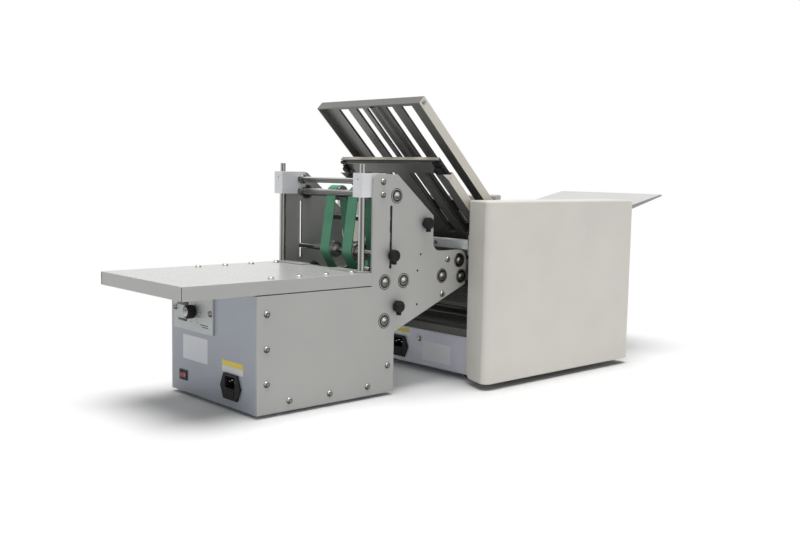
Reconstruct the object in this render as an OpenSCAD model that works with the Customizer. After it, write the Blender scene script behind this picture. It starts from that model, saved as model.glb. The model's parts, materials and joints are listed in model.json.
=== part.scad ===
// Desktop buckle folder with its free-standing delivery stacker, in millimetres.
// +X runs from the stacker towards the feed table, Y = 0 is the centre plane, Z = 0 is the desk.

/* [Stacker box] */
// Left end of the stacker box along X
stacker_x = -412; // [-440:1:-410]
// Height of the box's bottom edge over the desk
stacker_lift = 5; // [4:0.5:6]
// Length of the box
box_l = 244; // [240:1:248]
// Width over the two side plates
stacker_w = 224; // [222:1:228]
// Thickness of the side plates
plate_t = 4; // [3:0.5:4.5]
// Thickness of the box's thin sheets
sheet_t = 1.5; // [1:0.25:2]
// Height of the side plates under the table
deck_z = 161; // [158:1:162]
// Depth of the table's folded rim
table_h = 20; // [16:1:24]
// How far the table stands out past the box's left end
table_reach = 111; // [60:1:120]

/* [Stacker side plate] */
// Where the tall part of the side plate starts
tall_x = 199; // [198:1:202]
// Height of the tall part
tall_z = 324; // [322:1:328]
// Where the top edge turns down
crest_x = 246; // [244:1:248]
// Right edge of the tall part
shoulder_x = 322; // [320:1:324]
// Where the slope meets that right edge
shoulder_z = 262; // [258:1:266]
// Top of the infeed arm
arm_z = 207.5; // [207:0.5:210]
// Lower end of the infeed arm's slope
belly_z = 90; // [88:1:91]
// Upper end of the infeed arm's slope
chin_z = 152.5; // [150:0.5:153]
// Radius of the arm's tip around the upper infeed roller
tip_r = 16.5; // [15:0.5:17]

/* [Stacker shafts] */
// Outer radius of the ball bearings
bearing_r = 11; // [10:0.5:11]
// Width of the ball bearings
bearing_w = 7; // [6:0.5:8]
// Radius of the shaft journals
journal_r = 4; // [3:0.25:5]
// Radius of the shafts between the journals
shaft_r = 6; // [5:0.25:7]
// Radius of the belt pulleys on the top shaft
top_pulley_r = 11; // [9:0.5:12]
// Radius of the idler pulleys
idler_r = 13; // [11:0.5:13]
// Radius of the pulleys on the lift and transfer shafts
drive_pulley_r = 14; // [12:0.5:14]
// Radius of the infeed rollers
infeed_r = 12.7; // [11:0.1:12.8]
// Radius of the exit rollers
exit_r = 12; // [10:0.5:12]
// Height of the idler shaft in its slots
idler_z = 205; // [203:1:210]
// Thickness of the flat belts
belt_t = 1.5; // [1:0.25:1.75]
// Width of the two lift belts
lift_belt_w = 22; // [16:1:24]
// Distance between the lift belts' middles
lift_belt_gap = 54; // [50:1:60]
// Width of the transfer belts
transfer_belt_w = 18; // [12:1:20]

/* [Stacker fittings] */
// Thickness of the corner blocks, across the machine
block_t = 21; // [18:1:24]
// Radius of the guide posts
post_r = 5; // [4:0.25:5.5]
// Radius of the tie rods and clamp rods
rod_r = 4.5; // [3.5:0.25:5]
// Radius of the clamp knobs
knob_r = 9; // [7:0.5:10]
// Radius of the speed knob
speed_knob_r = 10; // [8:0.5:11]
// Width of the speed controller's face
control_w = 107.5; // [100:0.5:108]
// Height of the speed controller's face
control_h = 61; // [56:1:62]
// Radius of the screw heads
screw_head_r = 4.7; // [4:0.1:5.2]

/* [Folder body] */
// Left end of the folder's base along X
folder_x = -12; // [-12:1:2]
// Gap under the base
base_lift = 10; // [8:1:12]
// Length of the base
base_l = 342; // [340:1:350]
// Height of the base's end panel over the desk
base_z = 70; // [64:1:72]
// Distance between the side frames' inner faces
frame_w = 246; // [246:1:250]
// Thickness of the side frames
frame_t = 4; // [3:0.5:5]
// Outer width over the two covers
cover_w = 374; // [368:1:380]
// Height of the covers over the desk
cover_z = 291; // [288:1:296]
// Wall of the covers
cover_t = 2.5; // [2:0.25:3]
// Radius of the covers' upright corners
cover_r = 12; // [8:1:14]

/* [Fold plates and rollers] */
// Slope of the fold plates
plate_slope = 44.5; // [44:0.25:45]
// Distance between the axes of neighbouring fold rollers
roller_pitch = 35; // [34:0.25:36]
// Gap between two neighbouring fold rollers
roller_gap = 0.4; // [0.3:0.1:0.6]
// Length of the fold rollers' coat
roller_l = 236; // [200:1:240]
// Radius of the fold rollers' journals
roller_journal_r = 6; // [5:0.25:7]
// Teeth of each roller gear
gear_teeth = 35; // [35:1:35]
// Width of the roller gears
gear_w = 8; // [6:1:12]
// Width of the fold plates
fold_w = 245.4; // [240:0.2:245.4]
// Length of the long fold plate above the datum edge
long_plate_up = 218; // [200:1:240]
// Length of the short fold plate above the datum edge
short_plate_up = 127; // [112:1:130]
// Depth of the fold plates' side rails
rail_h = 15; // [12:1:16]
// Thickness of the rails
rail_t = 2; // [1.5:0.25:2.5]
// How far the first lower fold plate reaches below the datum's line
lower_reach_1 = 166; // [160:1:168]
// How far the second lower fold plate reaches
lower_reach_2 = 146; // [140:1:150]
// Radius of the feed roller's wheels
feed_r = 18; // [16:0.5:20]
// Slope of the feed table
table_slope = 11.2; // [9:0.2:12]
// Length of the feed table along its slope
feed_l = 298.8; // [280:0.2:310]
// Width of the feed table
feed_w = 242; // [236:1:244]

/* [Hidden] */
$fn = 48;
e = 0.01;
run = 0.05;      // radial running clearance of a shaft
seat = 0.3;      // gap at a loose seat
clear = 0.15;    // gap between a belt and its pulleys
m4_r = 2;
m5_r = 2.5;

// ---------- shared values ----------
half = stacker_w / 2;              // outer face of a stacker side plate
inner = half - plate_t;            // its inner face
table_top = deck_z + table_h;
post_x = tall_x - 9;
tie_x = tall_x + 19;
tie_z = [tall_z - 11.2, tall_z - 30];
block_x = [tall_x - 18, tall_x + 28];
block_z = [tall_z - 34, tall_z + 1];
foot_t = 2;
seam = 1.4;                        // open corner between two folded edges
rim_gap = 1.2;                     // gap under the table's rim
fold_edge = 28;                    // depth of the box's inner folded edges

// shaft axes in the stacker, as [x, z] from the box's left bottom corner
top_at = [tall_x + 46, tall_z - 31.5];
exit_at = [tall_x + 25, deck_z + 5];
lift_at = [tall_x + 62.5, deck_z + 5];
low_at = [tall_x + 25, deck_z - 52.5];
transfer_at = [shoulder_x + 20.5, deck_z + 7.5];
infeed_up_at = [shoulder_x + 58, arm_z - tip_r];
infeed_low_at = infeed_up_at + [5, -25.5];
idler_at = [tall_x + 35.4, idler_z];
lower_rod_at = [tall_x + 46.5, deck_z - 32];
upper_rod_at = [shoulder_x - 19, shoulder_z - 11];
slot_z = [deck_z + 26.5, deck_z + 115.3];
bearing_at = [top_at, exit_at, lift_at, low_at, transfer_at, infeed_up_at, infeed_low_at];
low_screws_at = [for (z = [136, 88.7, 41.3]) [15.4, z], for (x = [53, 123, 193]) [x, 14],
    [box_l - 12.4, 41]];
arm_screws_at = [[shoulder_x + 32, arm_z - 14], [shoulder_x + 21.5, deck_z - 21]];
sight_holes_at = [[shoulder_x - 26, deck_z + 43], [shoulder_x - 32, deck_z + 18.5],
    [shoulder_x - 32, deck_z - 33]];

// left end panel: places as [y, z]
inlet_at = [57.7 - inner, 29.3];
switch_at = [inner - 30.7, 25];
control_at = [inner - 60.8, 124.5];
speed_knob_at = control_at - [4.2, 1.2];
inlet_body = [28, 31];
inlet_depth = 28;
socket_size = [24, 16];
switch_size = [21, 15];

// folder
frame_in = frame_w / 2;
frame_out = frame_in + frame_t;
cover_in = frame_out + seat;
cover_out = cover_w / 2;
feed_w_half = feed_w / 2;
datum = [41, 291];                 // upper front edge of the long plate's line, from the base's left end
gap_half = 1.1;                    // half the paper gap in a fold plate
skin_t = 1;                        // sheets of a fold plate
gap_mid = 0.6;                     // middle of the paper gap across the plate
skin_low = gap_mid + gap_half + skin_t;
skin_high = gap_mid - gap_half - skin_t;
rail_low = skin_high + rail_h;     // lower edge of the side rails
nip_a = -146.5;                    // first nip's place along the long plate
roller_r = (roller_pitch - roller_gap) / 2;
line_short = roller_pitch;         // distance from the long plate's line to the short plate's
first_turn = 70;                   // direction from roller 2 to roller 1
table_low = [240, 240.5];          // inner end of the feed table's top face
roller_clear = sqrt(pow(roller_pitch / 2, 2) - pow(roller_pitch / 2 - 5, 2)) + 2;
rail_clear = sqrt(pow(roller_r + 1, 2) - pow(roller_pitch / 2 - rail_low, 2)) - roller_clear;
long_plate_down = nip_a + roller_pitch + roller_clear;
short_plate_down = nip_a + 2 * roller_pitch + roller_clear;
slots = [[63, 87.6], [27.4, 43.4], [4, 18], [-43.4, -27.4], [-87.6, -63]];
finger_y = [75, 35, -35, -75];
short_rail_up = 95;                // upper end of the short plate's rails
short_top_half = 116.5;            // half width of the short plate above its rails
stop_short_a = 110;                // rest place of the short plate's stop
stop_long_a = -20;                 // rest place of the long plate's stop
motor_room = 5.5;                  // gap between the folder's motor and its cover
motor_case = [50, cover_out - cover_t - frame_out - motor_room, 50];

// ---------- shared shapes ----------
function arc(c, r, a0, a1, n = 8) =
    [for (i = [0 : n]) let (a = a0 + (a1 - a0) * i / n) c + r * [cos(a), sin(a)]];
function mirror_pts(p) = [for (i = [len(p) - 1 : -1 : 0]) [p[i][0], -p[i][1]]];
// place at a along the fold plates' slope and b across it, seen from the side
function on_slope(a, b) = datum + a * [-cos(plate_slope), sin(plate_slope)]
    + b * [-sin(plate_slope), -cos(plate_slope)];

module at_stacker() translate([stacker_x, 0, stacker_lift]) children();
module at_folder() translate([folder_x, 0, 0]) children();
// a flat shape drawn in X and Z, standing from y to y + t
module side_slab(y, t) translate([0, y + t, 0]) rotate([90, 0, 0]) linear_extrude(t) children();
// a flat shape drawn in Y and Z, standing from x to x + t
module end_slab(x, t) translate([x, 0, 0]) rotate([90, 0, 90]) linear_extrude(t) children();
// a round bar along Y from y0 to y1 at p = [x, z]
module bar_y(p, r, y0, y1) translate([p[0], y1, p[1]]) rotate([90, 0, 0]) cylinder(r = r, h = y1 - y0);
// a round bar along X from x0 to x1 at p = [y, z]
module bar_x(p, r, x0, x1) translate([x0, p[0], p[1]]) rotate([0, 90, 0]) cylinder(r = r, h = x1 - x0);
module box_at(p, q) translate(p) cube(q - p);
module both_sides() for (s = [0, 1]) mirror([0, s, 0]) children();
// local X runs up the fold plates' slope, local Z across it towards the lower left
module on_plate(a = 0, b = 0)
    translate([datum[0], 0, datum[1]]) rotate([0, 180 + plate_slope, 0]) translate([a, 0, b]) children();
module on_feed() translate([table_low[0], 0, table_low[1]]) rotate([0, -table_slope, 0]) children();

// angle of the outer tangent's normal between two pulleys [x, z, r]
function tangent_angle(p, q) = let (d = [q[0] - p[0], q[1] - p[1]])
    atan2(d[1], d[0]) - 90 + asin((p[2] - q[2]) / norm(d));
function turn_up(a, b) = b < a ? turn_up(a, b + 360) : b;
// outline of a belt round pulleys listed anticlockwise, k outside their rims
function belt_outline(c, k) = let (n = len(c)) [for (i = [0 : n - 1])
    let (p = c[i], a0 = tangent_angle(c[(i + n - 1) % n], p),
        a1 = turn_up(a0, tangent_angle(p, c[(i + 1) % n])))
    each arc([p[0], p[1]], p[2] + k, a0, a1, 20)];
module belt_loop(c, y, w) side_slab(y - w / 2, w) difference() {
    polygon(belt_outline(c, clear + belt_t));
    polygon(belt_outline(c, clear));
}

// shaft between the stacker's bearings, with a domed end outside each plate
module plain_shaft(p) {
    bar_y(p, shaft_r, -inner + 4.5, inner - 4.5);
    bar_y(p, journal_r, -half - 1.5, half + 1.5);
    both_sides() translate([p[0], half + 1.5, p[1]]) rotate([-90, 0, 0])
        cylinder(r1 = journal_r, r2 = journal_r - 1.6, h = 1);
}
module button_screw(l) {
    cylinder(r = screw_head_r, h = 0.8);
    translate([0, 0, 0.8]) cylinder(r1 = screw_head_r, r2 = screw_head_r - 2.1, h = 1.8);
    translate([0, 0, -l]) cylinder(r = m5_r, h = l + e);
}
module face_screw() {
    cylinder(r = 4, h = 2.4);
    translate([0, 0, -8]) cylinder(r = m4_r, h = 8 + e);
}
// a screw whose head stands on a side plate at y, pointing out
module side_screw(p, y, l) translate([p[0], y, p[1]]) rotate([y < 0 ? 90 : -90, 0, 0]) button_screw(l);
module clamp_knob(p) {
    bar_y(p, knob_r, -half - 13, -half - 3);
    bar_y(p, knob_r * 0.6, -half - 3 - e, -half - seat);
    translate([p[0] - 2.5, -half - 12, p[1] - knob_r - 4]) cube([5, 8, 8]);
    bar_y(p, m4_r, -half - 3, -inner + 12);
}
// mains inlet with its fuse drawer, flange on the plane x = 0
module mains_inlet(p) translate([0, p[0], p[1]]) {
    difference() {
        union() {
            end_slab(-3, 3) polygon([[-25, 0], [-17, 18], [17, 18], [25, 0], [17, -18], [-17, -18]]);
            box_at([-e, -inlet_body[0] / 2, -inlet_body[1] / 2],
                [inlet_depth, inlet_body[0] / 2, inlet_body[1] / 2]);
        }
        box_at([-4, -socket_size[0] / 2, -2], [17, socket_size[0] / 2, socket_size[1] - 2]);
        box_at([-4, -11.3, -14.3], [20, 11.3, -4.7]);
    }
    for (q = [[0, 9], [-7, 6.5], [7, 6.5]]) box_at([1, q[0] - 2, q[1] - 1], [17.5, q[0] + 2, q[1] + 1]);
    box_at([-3.8, -11, -14], [19.5, 11, -5]);
}

// ---------- stacker: plates, box and table ----------
tip_corner = [infeed_up_at[0] + tip_r - 2, chin_z];
side_outline = concat([[0, 0], [box_l, 0], [box_l, belly_z], tip_corner],
    arc(infeed_up_at, tip_r, 0, 90),
    arc([shoulder_x + 15, arm_z + 15], 15, 270, 180),
    [[shoulder_x, shoulder_z], [crest_x, tall_z]],
    arc([tall_x + 8, tall_z - 8], 8, 90, 180),
    [[tall_x, deck_z], [0, deck_z]]);

module side_plate() color([0.47, 0.47, 0.455]) side_slab(-half, plate_t) difference() {
    polygon(side_outline);
    for (p = bearing_at) translate(p) circle(bearing_r + run);
    for (p = concat(low_screws_at, arm_screws_at, [for (z = tie_z) [tie_x, z]]))
        translate(p) circle(m5_r + 0.1);
    for (p = sight_holes_at) translate(p) circle(1.5);
    for (p = [lower_rod_at, upper_rod_at]) translate(p) circle(m4_r + 0.1);
    for (z = slot_z) translate([idler_at[0], z]) circle(m4_r + 0.1);
    translate([idler_at[0] - m4_r - 0.1, slot_z[0]]) square([2 * m4_r + 0.2, slot_z[1] - slot_z[0]]);
}
module stacker_front_plate() at_stacker() side_plate();
module stacker_rear_plate() at_stacker() mirror([0, 1, 0]) side_plate();

module stacker_end_panel() color([0.38, 0.41, 0.47]) at_stacker() difference() {
    union() {
        box_at([0, -inner, sheet_t], [sheet_t, inner, deck_z]);
        both_sides() box_at([sheet_t - e, inner - sheet_t, fold_edge + 2], [fold_edge, inner, deck_z]);
    }
    both_sides() for (p = low_screws_at) bar_y(p, m5_r + 0.1, inner - 4, inner + 1);
    box_at([-1, inlet_at[0] - inlet_body[0] / 2 - seat, inlet_at[1] - inlet_body[1] / 2 - seat],
        [3, inlet_at[0] + inlet_body[0] / 2 + seat, inlet_at[1] + inlet_body[1] / 2 + seat]);
    box_at([-1, switch_at[0] - 9.3, switch_at[1] - 6.3], [3, switch_at[0] + 9.3, switch_at[1] + 6.3]);
    box_at([-1, control_at[0] - 44, control_at[1] - 24], [3, control_at[0] + 44, control_at[1] + 24]);
    for (s = [-1, 1]) translate([-1, control_at[0] + s * (control_w / 2 - 6), control_at[1]])
        rotate([0, 90, 0]) cylinder(r = m4_r + 0.1, h = 4);
}
// angle between two sheets that meet along X, one leg on the side plate
module floor_angle() difference() {
    x0 = sheet_t + seat;
    x1 = box_l - fold_edge - 2;
    z0 = sheet_t + seat;
    union() {
        box_at([x0, inner - sheet_t, z0], [x1, inner, fold_edge]);
        box_at([x0, inner - 14, z0], [x1, inner, z0 + sheet_t]);
    }
    for (p = low_screws_at) bar_y(p, m5_r + 0.1, inner - 4, inner + 1);
}
module wall_angle() difference() {
    x1 = box_l - sheet_t - seat;
    union() {
        box_at([box_l - fold_edge, inner - sheet_t, sheet_t + seat], [x1, inner, belly_z - 10]);
        box_at([x1 - sheet_t, inner - 14, sheet_t + seat], [x1, inner, belly_z - 10]);
    }
    for (p = low_screws_at) bar_y(p, m5_r + 0.1, inner - 4, inner + 1);
}
module stacker_pan() color([0.38, 0.41, 0.47]) at_stacker() {
    box_at([0, -inner, 0], [box_l, inner, sheet_t]);
    box_at([box_l - sheet_t, -inner, sheet_t - e], [box_l, inner, belly_z - 10]);
    both_sides() {
        floor_angle();
        wall_angle();
        table_angle();
    }
}
// angle under the table's edge, on the side plate
module table_angle() difference() {
    union() {
        box_at([fold_edge + 2, inner - 2, deck_z - 12], [tall_x - 10, inner, table_top - sheet_t]);
        box_at([fold_edge + 2, inner - 26, table_top - sheet_t - 2],
            [tall_x - 10, inner, table_top - sheet_t]);
    }
    for (x = table_screw_x) translate([x, table_screw_y, table_top - 12]) cylinder(r = m5_r + 0.1, h = 14);
}
module stacker_table() color([0.56, 0.56, 0.545]) at_stacker() {
    difference() {
        box_at([-table_reach, -half, table_top - sheet_t], [tall_x, half, table_top]);
        for (x = table_screw_x, s = [-1, 1]) translate([x, s * table_screw_y, table_top - 5])
            cylinder(r = m5_r + 0.1, h = 8);
    }
    rim_top = table_top - sheet_t + e;
    rim_y = half - sheet_t - seam;
    both_sides() box_at([-table_reach, half - sheet_t, deck_z + rim_gap], [tall_x, half, rim_top]);
    for (x = [-table_reach, tall_x - sheet_t])
        box_at([x, -rim_y, deck_z + rim_gap], [x + sheet_t, rim_y, rim_top]);
}
table_screw_x = [for (i = [0 : 3]) 34 + i * (tall_x - 58) / 3];
table_screw_y = half - 18;

module stacker_screws() color([0.55, 0.54, 0.5]) at_stacker() {
    for (p = concat(low_screws_at, arm_screws_at), s = [-1, 1]) side_screw(p, s * half, plate_t + 4);
    for (z = tie_z, s = [-1, 1]) side_screw([tie_x, z], s * half, plate_t + block_t);
    for (x = table_screw_x, s = [-1, 1]) translate([x, s * table_screw_y, table_top]) button_screw(8);
    for (s = [-1, 1]) translate([-3, control_at[0] + s * (control_w / 2 - 6), control_at[1]])
        rotate([0, -90, 0]) face_screw();
}
module stacker_feet() color([0.15, 0.15, 0.15]) at_stacker() for (x = [28, box_l - 28], y = [-1, 1])
    translate([x, y * (half - 30), -stacker_lift]) cylinder(r1 = 9, r2 = 11, h = stacker_lift);

// ---------- stacker: blocks, posts and rods ----------
module corner_blocks() color([0.86, 0.86, 0.88]) at_stacker() both_sides() difference() {
    box_at([block_x[0], inner - block_t, block_z[0]], [block_x[1], inner, block_z[1]]);
    translate([post_x, inner - block_t / 2, block_z[0] - 1]) cylinder(r = journal_r + run, h = 40);
    for (z = tie_z) bar_y([tie_x, z], m5_r + 0.1, inner - block_t - 1, inner + 1);
    bar_x([inner - block_t / 2, block_z[1] - 9], 1.5, block_x[0] - 1, post_x - journal_r - 1);
}
module guide_posts() color([0.8, 0.8, 0.8]) at_stacker()
    both_sides() translate([post_x, inner - block_t / 2, 0]) {
    translate([0, 0, table_top + foot_t - e]) cylinder(r = post_r, h = block_z[0] - table_top - foot_t);
    translate([0, 0, block_z[0] - 2]) cylinder(r = journal_r, h = 50);
    translate([-10, -62, table_top]) cube([19, 72, foot_t]);
}
module cross_rods() color([0.82, 0.82, 0.82]) at_stacker() {
    tie_end = inner - block_t;
    for (z = tie_z) difference() {
        union() {
            bar_y([tie_x, z], rod_r, -tie_end, tie_end);
            both_sides() bar_y([tie_x, z], rod_r + 2.5, tie_end - 8, tie_end);
        }
        both_sides() bar_y([tie_x, z], m5_r + 0.1, tie_end - 3, tie_end + 1);
    }
    for (p = [lower_rod_at, upper_rod_at]) difference() {
        bar_y(p, rod_r, -inner + seat, inner);
        bar_y(p, m4_r + run, -inner - 1, -inner + 15);
    }
}
module stacker_bearings() color([0.55, 0.54, 0.52]) at_stacker()
    both_sides() for (p = bearing_at) difference() {
    bar_y(p, bearing_r, half + 0.5 - bearing_w, half + 0.5);
    bar_y(p, journal_r + run, half - bearing_w - 1, half + 2);
    difference() {
        bar_y(p, bearing_r - 1.8, half - 0.2, half + 1);
        bar_y(p, journal_r + 1.8, half - 1, half + 2);
    }
}

// ---------- stacker: belts and shafts ----------
lift_loop = [[lift_at[0], lift_at[1], drive_pulley_r], [top_at[0], top_at[1], top_pulley_r],
    [idler_at[0], idler_at[1], idler_r]];
transfer_loop = [[low_at[0], low_at[1], drive_pulley_r], [transfer_at[0], transfer_at[1], drive_pulley_r]];
lift_belt_y = [-lift_belt_gap / 2, lift_belt_gap / 2];
transfer_belt_y = [for (i = [-1 : 1]) i * 45];

module lift_belts() color([0.1, 0.33, 0.2]) at_stacker() for (y = lift_belt_y)
    belt_loop(lift_loop, y, lift_belt_w);
module transfer_belts() color([0.1, 0.33, 0.2]) at_stacker() for (y = transfer_belt_y)
    belt_loop(transfer_loop, y, transfer_belt_w);
module top_shaft() color([0.75, 0.74, 0.72]) at_stacker() {
    plain_shaft(top_at);
    for (y = lift_belt_y) bar_y(top_at, top_pulley_r, y - lift_belt_w / 2 - 1, y + lift_belt_w / 2 + 1);
}
module idler_axle() color([0.75, 0.74, 0.72]) at_stacker() {
    difference() {
        bar_y(idler_at, journal_r, -inner + seat, inner - seat);
        bar_y(idler_at, m4_r + run, -inner - 1, -inner + 15);
    }
    bar_y(idler_at, m4_r, inner - seat - 1, half + 6);
    bar_y(idler_at, 4, half + seat, half + 4);
}
module idler_pulleys() color([0.5, 0.48, 0.46]) at_stacker() for (y = lift_belt_y) difference() {
    union() {
        bar_y(idler_at, idler_r, y - lift_belt_w / 2 - 1, y + lift_belt_w / 2 + 1);
        bar_y(idler_at, 8, y - lift_belt_w / 2 - 5, y + lift_belt_w / 2 + 1);
    }
    bar_y(idler_at, journal_r + run, y - 20, y + 20);
}
module exit_shaft() color([0.3, 0.3, 0.31]) at_stacker() {
    plain_shaft(exit_at);
    for (y = [-60, 0, 60]) bar_y(exit_at, exit_r, y - 15, y + 15);
}
module lift_shaft() color([0.75, 0.74, 0.72]) at_stacker() {
    plain_shaft(lift_at);
    for (y = lift_belt_y) bar_y(lift_at, drive_pulley_r, y - lift_belt_w / 2 - 1, y + lift_belt_w / 2 + 1);
}
module transfer_pulleys(p) for (y = transfer_belt_y)
    bar_y(p, drive_pulley_r, y - transfer_belt_w / 2 - 1, y + transfer_belt_w / 2 + 1);
module low_shaft() color([0.75, 0.74, 0.72]) at_stacker() {
    plain_shaft(low_at);
    transfer_pulleys(low_at);
}
module transfer_shaft() color([0.75, 0.74, 0.72]) at_stacker() {
    plain_shaft(transfer_at);
    transfer_pulleys(transfer_at);
}
module infeed_roller(p) {
    plain_shaft(p);
    bar_y(p, infeed_r, -inner + 12, inner - 12);
}
module infeed_roller_upper() color([0.3, 0.3, 0.31]) at_stacker() infeed_roller(infeed_up_at);
module infeed_roller_lower() color([0.3, 0.3, 0.31]) at_stacker() infeed_roller(infeed_low_at);

// gearmotor hung on the rear plate, with the low shaft through its gearbox
module stacker_motor() color([0.25, 0.26, 0.28]) at_stacker() {
    difference() {
        box_at([low_at[0] - 24, inner - 42, low_at[1] - 22], [low_at[0] + 16, inner, low_at[1] + 16]);
        bar_y(low_at, shaft_r + run, inner - 43, inner + 1);
        bar_y(low_at, bearing_r + 1, inner - 8, inner + 1);
    }
    bar_x([inner - 22, low_at[1] - 3], 20, low_at[0] - 124, low_at[0] - 24);
    bar_x([inner - 22, low_at[1] - 3], 6, low_at[0] - 130, low_at[0] - 124);
}

// ---------- stacker: controls on the end panel ----------
module speed_controller() color([0.56, 0.57, 0.56]) at_stacker() {
    difference() {
        box_at([-3, control_at[0] - control_w / 2, control_at[1] - control_h / 2],
            [0, control_at[0] + control_w / 2, control_at[1] + control_h / 2]);
        for (s = [-1, 1]) bar_x([control_at[0] + s * (control_w / 2 - 6), control_at[1]], m4_r + 0.1, -4, 1);
    }
    box_at([-e, control_at[0] - 43.5, control_at[1] - 23.5],
        [42, control_at[0] + 43.5, control_at[1] + 23.5]);
    bar_x(speed_knob_at, 3, -13, -2);
}
module speed_knob() color([0.1, 0.1, 0.1]) at_stacker() difference() {
    union() {
        bar_x(speed_knob_at, speed_knob_r, -17, -4);
        bar_x(speed_knob_at, speed_knob_r - 3, -18, -16.9);
    }
    bar_x(speed_knob_at, 3 + run, -14, -3);
}
module stacker_inlet() color([0.12, 0.12, 0.13]) at_stacker() mains_inlet(inlet_at);
module switch_bezel() color([0.1, 0.1, 0.1]) at_stacker()
    translate([0, switch_at[0], switch_at[1]]) difference() {
    union() {
        box_at([-1.6, -switch_size[0] / 2, -switch_size[1] / 2],
            [0, switch_size[0] / 2, switch_size[1] / 2]);
        box_at([-e, -9, -6], [18, 9, 6]);
    }
    box_at([-3, -8, -4.5], [9, 8, 4.5]);
}
module switch_rocker() color([0.3, 0.03, 0.02]) at_stacker()
    translate([2.5, switch_at[0], switch_at[1]]) rotate([0, 0, 8])
        end_slab_centered(8.6);
module end_slab_centered(w) translate([0, 0, -w / 2 + seat]) linear_extrude(w - 2 * seat)
    polygon([[-5.2, -7], [-4.2, 0], [-5.2, 7], [2.5, 5.5], [3.5, 0], [2.5, -5.5]]);

module idler_knob() color([0.1, 0.1, 0.1]) at_stacker() clamp_knob(idler_at);
module lower_rod_knob() color([0.1, 0.1, 0.1]) at_stacker() clamp_knob(lower_rod_at);
module upper_rod_knob() color([0.1, 0.1, 0.1]) at_stacker() clamp_knob(upper_rod_at);

// ---------- folder: base, frames and covers ----------
module base_floor() color([0.78, 0.78, 0.88]) at_folder()
    box_at([0, -frame_in, base_lift], [base_l, frame_in, base_lift + 2]);
module base_end_panel() color([0.78, 0.78, 0.88]) at_folder() difference() {
    union() {
        box_at([0, -frame_in + seat, base_lift + 2], [2, frame_in - seat, base_z]);
        box_at([0, -frame_in + seat, base_z - 2], [4, frame_in - seat, base_z]);
    }
    box_at([-1, base_inlet_at[0] - inlet_body[0] / 2 - seat, base_inlet_at[1] - inlet_body[1] / 2 - seat],
        [3, base_inlet_at[0] + inlet_body[0] / 2 + seat, base_inlet_at[1] + inlet_body[1] / 2 + seat]);
    translate([-1, base_screw_at[0], base_screw_at[1]]) rotate([0, 90, 0]) cylinder(r = m5_r + 0.1, h = 4);
}
base_inlet_at = [47, base_lift + 25];
base_screw_at = [-4.7, base_z - 16];
module base_feet() color([0.15, 0.15, 0.15]) at_folder() for (x = [34, base_l - 34], y = [-1, 1])
    translate([x, y * 92, 0]) cylinder(r1 = 10, r2 = 12, h = base_lift);

roller_at = let (b1 = roller_pitch / 2, b2 = 1.5 * roller_pitch, b3 = 2.5 * roller_pitch,
        r2 = on_slope(nip_a, b1))
    [r2 + roller_pitch * [cos(first_turn), sin(first_turn)], r2, on_slope(nip_a + roller_pitch, b1),
        on_slope(nip_a + roller_pitch, b2), on_slope(nip_a + 2 * roller_pitch, b2),
        on_slope(nip_a + 2 * roller_pitch, b3)];
feed_at = table_low + 12 * [cos(table_slope), sin(table_slope)]
    + (feed_r + seat) * [-sin(table_slope), cos(table_slope)];
delivery_z = [roller_at[4][1] + 12.7, roller_at[4][1] + 27.7];
delivery_x = [-10, 2];
frame_outline = [[3, base_lift], [base_l, base_lift], [base_l, 225], [300, 256], [270, 284], [206, 284],
    [150, 262], [48, 262], [20, delivery_z[1] + 22], [-13, delivery_z[1] + 8],
    [-13, delivery_z[0] - 8], [3, delivery_z[0] - 24]];
module side_frame() color([0.6, 0.61, 0.62]) side_slab(frame_in, frame_t) difference() {
    polygon(frame_outline);
    for (p = roller_at) translate(p) circle(roller_journal_r + run);
    translate(feed_at) circle(roller_journal_r + run);
}
module side_frame_front() at_folder() mirror([0, 1, 0]) side_frame();
module side_frame_rear() at_folder() side_frame();

// plan of a cover: its open side towards the frame, its ends flared
cover_l = base_l + 3;
function cover_plan(k) = concat(
    [[-15 + k, cover_in], [-33 + k, cover_out - cover_r]],
    arc([-33 + cover_r, cover_out - cover_r], cover_r - k, 180, 90),
    arc([cover_l - cover_r, cover_out - cover_r], cover_r - k, 90, 0),
    [[cover_l - k, cover_in]]);
module cover() color([0.77, 0.75, 0.69]) difference() {
    translate([0, 0, base_lift]) linear_extrude(cover_z - base_lift) polygon(cover_plan(0));
    translate([0, 0, base_lift - 1]) linear_extrude(cover_z - base_lift - cover_t + 1)
        polygon(concat([[-15 + cover_t, cover_in - 1]], cover_plan(cover_t),
            [[cover_l - cover_t, cover_in - 1]]));
    end_slab(-60, 120) polygon([[cover_in - 1, base_lift - 1], [cover_in + 9, base_lift - 1],
        [cover_in - 1, base_lift + 12]]);
}
module front_cover() at_folder() mirror([0, 1, 0]) cover();
module rear_cover() at_folder() cover();

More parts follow.
